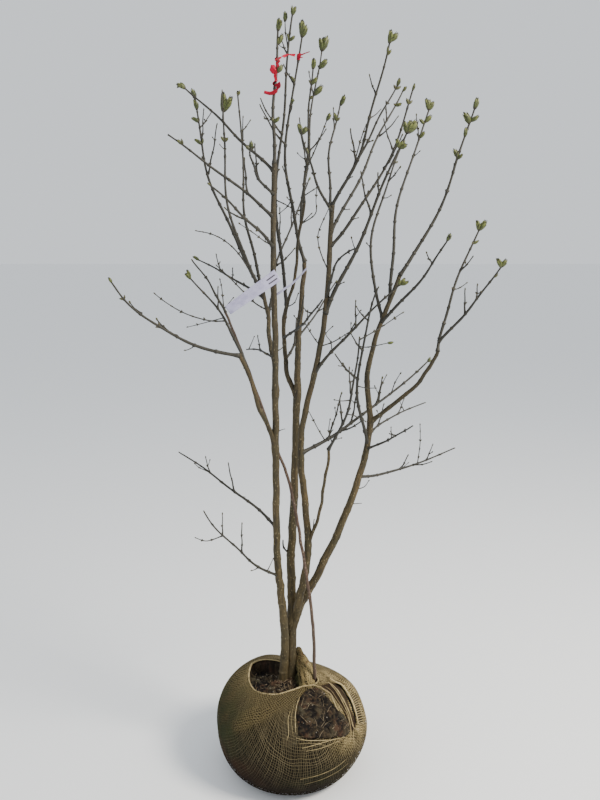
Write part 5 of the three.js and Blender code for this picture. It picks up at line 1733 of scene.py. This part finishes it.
def bud_cloud(pattern, seats):
    """Copies of a bud: each seat gives its place, direction, length, fatness, turn, tone and ripeness."""
    points, quads, ends, edge, along = pattern
    parts = []
    for at, direction, length, fatness, turn, *rest in seats:
        direction = direction / np.linalg.norm(direction)
        guide = np.array([0.3, 0.8, 0.1]) if abs(direction[1]) < 0.8 else np.array([0.9, 0.1, 0.2])
        first = np.cross(guide, direction)
        first /= np.linalg.norm(first)
        second = np.cross(direction, first)
        bend = 0.06 * np.sin(points[:, 2] * 2.6)
        x = points[:, 0] * math.cos(turn) - points[:, 1] * math.sin(turn) + bend
        y = points[:, 0] * math.sin(turn) + points[:, 1] * math.cos(turn)
        spot = np.outer(x * length * fatness, first) + np.outer(y * length * fatness, second)
        parts.append((at + spot + np.outer(points[:, 2] * length, direction), quads, ends))
    tones, greens = ([seat[column] for seat in seats] for column in (5, 6))
    all_points, faces, tones, greens = joined_parts(parts, tones, greens)
    edges, alongs = np.tile(edge, len(seats)), np.tile(along, len(seats))
    return all_points, faces, {"edge": edges, "along": alongs, "tone": tones, "green": greens}


bud_green, tree, shader = new_finish("bud_scales", 0.5, 0.4)
place = object_place(tree)
leafy = mixed(tree, worn(tree, "tone"), (0.040, 0.054, 0.011), (0.080, 0.096, 0.020))
leafy = mixed(tree, stretched(tree, worn(tree, "along"), 0.45, 1.05), leafy, (0.210, 0.225, 0.058))
brown = mixed(tree, worn(tree, "tone"), (0.036, 0.024, 0.014), (0.062, 0.044, 0.022))
colour = mixed(tree, worn(tree, "green"), brown, leafy)
colour = mixed(tree, blotches(tree, place, 210, 4, 0.65, 0.48, 0.68), colour, (0.034, 0.036, 0.012))
colour = mixed(tree, stretched(tree, worn(tree, "along"), 0.22, 0.0), colour, (0.030, 0.021, 0.012))
colour = mixed(tree, stretched(tree, worn(tree, "edge"), 0.30, 0.62), colour, (0.016, 0.014, 0.006))
lay_surface(tree, shader, colour, blotches(tree, place, 800, 3, 0.6, 0.2, 0.8), 0.0004, 0.5)

bud_clouds = {"side_buds": (SMALL_BUD, []), "tip_buds": (CLOSED_BUD, []), "breaking_buds": (BREAKING_BUD, [])}


def seat_bud(size, closed_from, breaking_from, seat):
    """Puts a bud's seat with its kind, by the lengths from which it is a closed and a breaking one."""
    kind = "side_buds" if size < closed_from else "tip_buds" if size < breaking_from else "breaking_buds"
    bud_clouds[kind][1].append(seat)


for at, along, side, size, tone, green in bud_seats:
    fatness, turn = chance.uniform(0.9, 1.1), chance.random() * 3
    seat = (at, along * 0.80 + side * 0.60, size * 1.15, fatness, turn, tone, green)
    seat_bud(size, 8, 15, seat)
for at, along, size, tone, green in tips:
    seat = (at - along * 1.2, along, size, chance.uniform(0.92, 1.12), chance.random() * 3, tone, green)
    seat_bud(size, 8, 17, seat)
for at, pointing, size, tone, stoutness in seen_buds:
    green = min(1, max(0.25, (size - 9) / 12))
    seat = (at, pointing, size, stoutness * chance.uniform(0.95, 1.08), chance.random() * 3, tone, green)
    seat_bud(size, 0, 19, seat)
for name, (pattern, seats) in bud_clouds.items():
    points, faces, values = bud_cloud(pattern, seats)
    new_piece(name, points, faces, bud_green, values)


# The label: a bare strip of pale lilac plastic with a slot at its end, which is not cut but painted dark:
# painted shade. Its thin tail is drawn through the slot, round the left stem, and out behind it to the right.
def ribbon(line, across, width, thick, count, columns=9, cup=0.0):
    """A thin strip along a line, slightly cupped, with a front, a back and closed edges."""
    shares = np.linspace(0, 1, count)
    middle = np.array([line(t) for t in shares])
    sides = np.array([across(t) for t in shares])
    widths = np.array([width(t) if callable(width) else width for t in shares])[:, None]
    along = np.gradient(middle, axis=0)
    sides = sides - along * ((sides * along).sum(1) / np.maximum((along * along).sum(1), 1e-9))[:, None]
    sides /= np.linalg.norm(sides, axis=1)[:, None]
    normal = np.cross(along, sides)
    normal /= np.linalg.norm(normal, axis=1)[:, None]
    steps = np.linspace(-0.5, 0.5, columns)
    front = [middle + sides * widths * s + normal * (thick / 2 + cup * 4 * s * s) for s in steps]
    back = [middle + sides * widths * s + normal * (cup * 4 * s * s - thick / 2) for s in steps[::-1]]
    points = np.stack([*front, *back], 1).reshape(-1, 3)
    around = 2 * columns
    quads = grid_faces(count, around)
    first = np.arange(around)
    last = (count - 1) * around + np.arange(around)
    ends = []
    for k in range(columns - 1):
        inner, outer = around - 2 - k, around - 1 - k
        ends += [(first[k], first[k + 1], first[inner]), (first[k], first[inner], first[outer])]
        ends += [(last[k + 1], last[k], last[outer]), (last[k + 1], last[outer], last[inner])]
    return points, quads[:, ::-1], np.array(ends)


TAIL_SEEN = [(273, 296), (279, 293), (285, 288.5), (291, 284.5), (298, 278), (307, 268)]
SLOT_REACH = (0.035, 0.21)
LABEL_OVERHANG = 13
LABEL_ROWS, LABEL_COLUMNS = 90, 19
LABEL_THICK, TAIL_THICK = 0.8, 0.7
tag_head = tag_front - tag_along * LABEL_OVERHANG
tag_across = np.cross(tag_normal, tag_along)
tail_across = np.cross(tail_normal, tail_along)


def label_middle(t):
    lift = 4.5 * math.sin(math.pi * t) + 1.3 * math.sin(9 * t) + 0.6
    return tag_head + (TAG_END - tag_head) * t + tag_normal * lift


tail_depth = tag_centre[1] + tag_inner + 3
tail_spots = smooth_run([from_picture(pixel, tail_depth - 3 * k) for k, pixel in enumerate(TAIL_SEEN)], 60)
tail_run = through(tail_spots)
label_strip = ribbon(
    label_middle, lambda t: tag_across + tag_normal * 0.10 * math.sin(3 * t),
    lambda t: TAG_WIDTH * (1 - 0.22 * t), LABEL_THICK, LABEL_ROWS, LABEL_COLUMNS, 0.5,
)
label_tail = ribbon(
    tail_run, lambda t: tail_across + tail_normal * 0.5 * math.sin(5 * t), lambda t: 6.5 - 2.4 * t,
    TAIL_THICK, 60,
)
parts = [label_strip, label_tail]
label_rows = np.repeat(np.linspace(0, 1, LABEL_ROWS), 2 * LABEL_COLUMNS)
label_columns = np.linspace(-0.5, 0.5, LABEL_COLUMNS)
label_columns = np.tile(np.concatenate([label_columns, label_columns[::-1]]), LABEL_ROWS)
# The slot's place on the strip, to be painted dark as painted shade.
in_slot_shade = (label_rows > SLOT_REACH[0]) & (label_rows < SLOT_REACH[1])
in_slot_shade &= np.abs(np.abs(label_columns - 0.02) - 0.17) < 0.07
for shift in (-4.5, 4.5):
    def loop(t, shift=shift):
        turn = 2 * math.pi * t
        reach = tag_inner + 0.5
        lift = shift + 3 * math.cos(turn)
        return tag_centre + np.array([reach * math.cos(turn), reach * math.sin(turn), lift])

    parts.append(ribbon(loop, lambda t: np.array([0, 0, 1.0]), TAIL_WIDTH, TAIL_THICK, 49))
label_plastic, tree, shader = new_finish("label_plastic", 0.5, 0.4)
place = object_place(tree)
colour = mixed(tree, blotches(tree, place, 40, 4, 0.6), (0.285, 0.27, 0.40), (0.41, 0.40, 0.54))
colour = mixed(tree, blotches(tree, place, 140, 4, 0.7, 0.6, 0.75), colour, (0.20, 0.185, 0.25))
# Painted shade where the slot is.
colour = mixed(tree, worn(tree, "slot_shade"), colour, (0.030, 0.024, 0.030))
ripple = blotches(tree, squeezed(tree, place, 4), 55, 3, 0.6, 0.2, 0.8)
lay_surface(tree, shader, colour, ripple, 0.001, 0.4)
points, faces = joined_parts(parts)
slot_shade_marks = np.zeros(len(points))
slot_shade_marks[:len(in_slot_shade)] = in_slot_shade
label = new_piece("label_strip", points, faces, label_plastic, {"slot_shade": slot_shade_marks})
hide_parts("plant_tag")


# The flagging tape: thin crimson film, wound up the left leader with a puffed loop on its left and a
# curled end, then drawn across in a twist to a knot on the middle leader, with two short tails.
tape_film, tree, shader = new_finish("flagging_film", 0.5, 0.15)
place = object_place(tree)
colour = mixed(tree, blotches(tree, place, 50, 3, 0.5), (0.20, 0.001, 0.010), (0.40, 0.003, 0.030))
# Painted sheen: lighter, pinker patches over the film, as where its folds catch the light.
sheen_patches = reckoned(tree, "MULTIPLY", blotches(tree, place, 90, 3, 0.6, 0.6, 0.8), 0.25)
colour = mixed(tree, sheen_patches, colour, (0.56, 0.02, 0.08))
lay_surface(tree, shader, colour, blotches(tree, place, 120, 3, 0.6, 0.2, 0.8), 0.0008, 0.5)
shader.inputs["Coat Weight"].default_value = 0.05

leader_depth = left_leader["path"](0.6)[1] - 6
knot_depth = knot[1]
CURL_SEEN = [(277.5, 83), (278.8, 86), (278.2, 89.3), (275, 92), (270, 93.4), (264, 92)]
TWIST_SEEN = [(276, 60.5), (279.5, 58), (284, 56.2), (290, 55), (295, 55.2)]
TAIL_SEEN_ON_KNOT = [(298, 56.5), (302, 54.8), (306, 53.2), (310, 51.8)]
SHORT_TAIL_SEEN = [(298, 57), (300.5, 57.6), (303, 57.4)]
from_share, to_share = (share_at_height(left_leader, h) for h in (1922, 1992))


def seen_run(pixels, first_depth, last_depth):
    """A smooth path through pixels, its depth going evenly from the first to the last."""
    depths = np.linspace(first_depth, last_depth, len(pixels))
    return through(smooth_run([from_picture(pixel, depth) for pixel, depth in zip(pixels, depths)], 80))


def wound(t):
    share = from_share + (to_share - from_share) * t
    wraps = min(t / 0.2, 1) + max(0, (t - 0.8) / 0.2)
    turn = -math.pi / 2 + 2 * math.pi * wraps + 0.7 * math.sin(12 * t)
    radius = left_leader["radius_at"](share) * 1.2 + 0.9
    return left_leader["path"](share) + radius * np.array([math.cos(turn), math.sin(turn), 0])


# Each strand: its run, the way it lies across, its width, how many stations it has and how it cups.
TAPE_THICK = 0.5
strands = [
    (wound, lambda t: (1.0, 0.2, 0.5 + 0.3 * math.sin(20 * t)), 7, 200, 0.0),
    (seen_run(CURL_SEEN, leader_depth - 3, leader_depth - 9),
     lambda t: (0.75 - 0.9 * t, -0.25, 0.65 * t + 0.25), lambda t: 14 - 7 * t, 60, 1.2),
    (seen_run(TWIST_SEEN, leader_depth, knot_depth),
     lambda t: (0.1, math.cos(9 * t), math.sin(9 * t) + 0.3),
     lambda t: 6.2 + 1.2 * math.sin(14 * t), 80, 0.9),
    (seen_run(TAIL_SEEN_ON_KNOT, knot_depth - 3, knot_depth - 12),
     lambda t: (0.1, 0.5, 1.0), lambda t: 5.6 - 3.6 * t, 40, 0.8),
    (seen_run(SHORT_TAIL_SEEN, knot_depth - 3, knot_depth - 8),
     lambda t: (0.2, 0.3, 1.0), lambda t: 4 - 2.4 * t, 20, 0.5),
]
parts = [ribbon(run, across, width, TAPE_THICK, count, 9, cup) for run, across, width, count, cup in strands]
for turn in range(3):
    def knot_ring(t, turn=turn):
        height = KNOT_HEIGHT + 3.2 * (turn - 1)
        angle = 2 * math.pi * t
        around = np.array([math.cos(angle), math.sin(angle), 0.3 * math.sin(angle + turn)])
        return middle_leader["path"](share_at_height(middle_leader, height)) + (4.4 + 0.5 * turn) * around

    parts.append(ribbon(knot_ring, lambda t: np.array([0.1, 0, 1.0]), 6.5, 0.6, 33))
bpy.ops.mesh.primitive_uv_sphere_add(segments=28, ring_count=18, radius=1)
puff_points, corners = roughened(0.05, 4, bpy.ops.mesh.vertices_smooth, factor=0.5, repeat=1)
puff_quads, puff_ends = (np.array([row for row in corners if len(row) == count]) for count in (4, 3))
creases = 1 + 0.09 * np.sin(puff_points[:, 2:3] * 5 + puff_points[:, 0:1] * 4)
LOOP_SEEN, LOOP_SIZE = (273, 69), (7.8, 4.5, 10.5)
KNOT_SIZE = (5, 4, 4)
loop_middle, knot_middle = from_picture(LOOP_SEEN, leader_depth + 1), knot + (0.6, -1.2, -0.5)
for middle, size in ((loop_middle, LOOP_SIZE), (knot_middle, KNOT_SIZE)):
    parts.append((middle + puff_points * creases * size, puff_quads, puff_ends))
points, faces = joined_parts(parts)
tape = new_piece("tape", points, faces, tape_film)
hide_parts("flagging_tape")
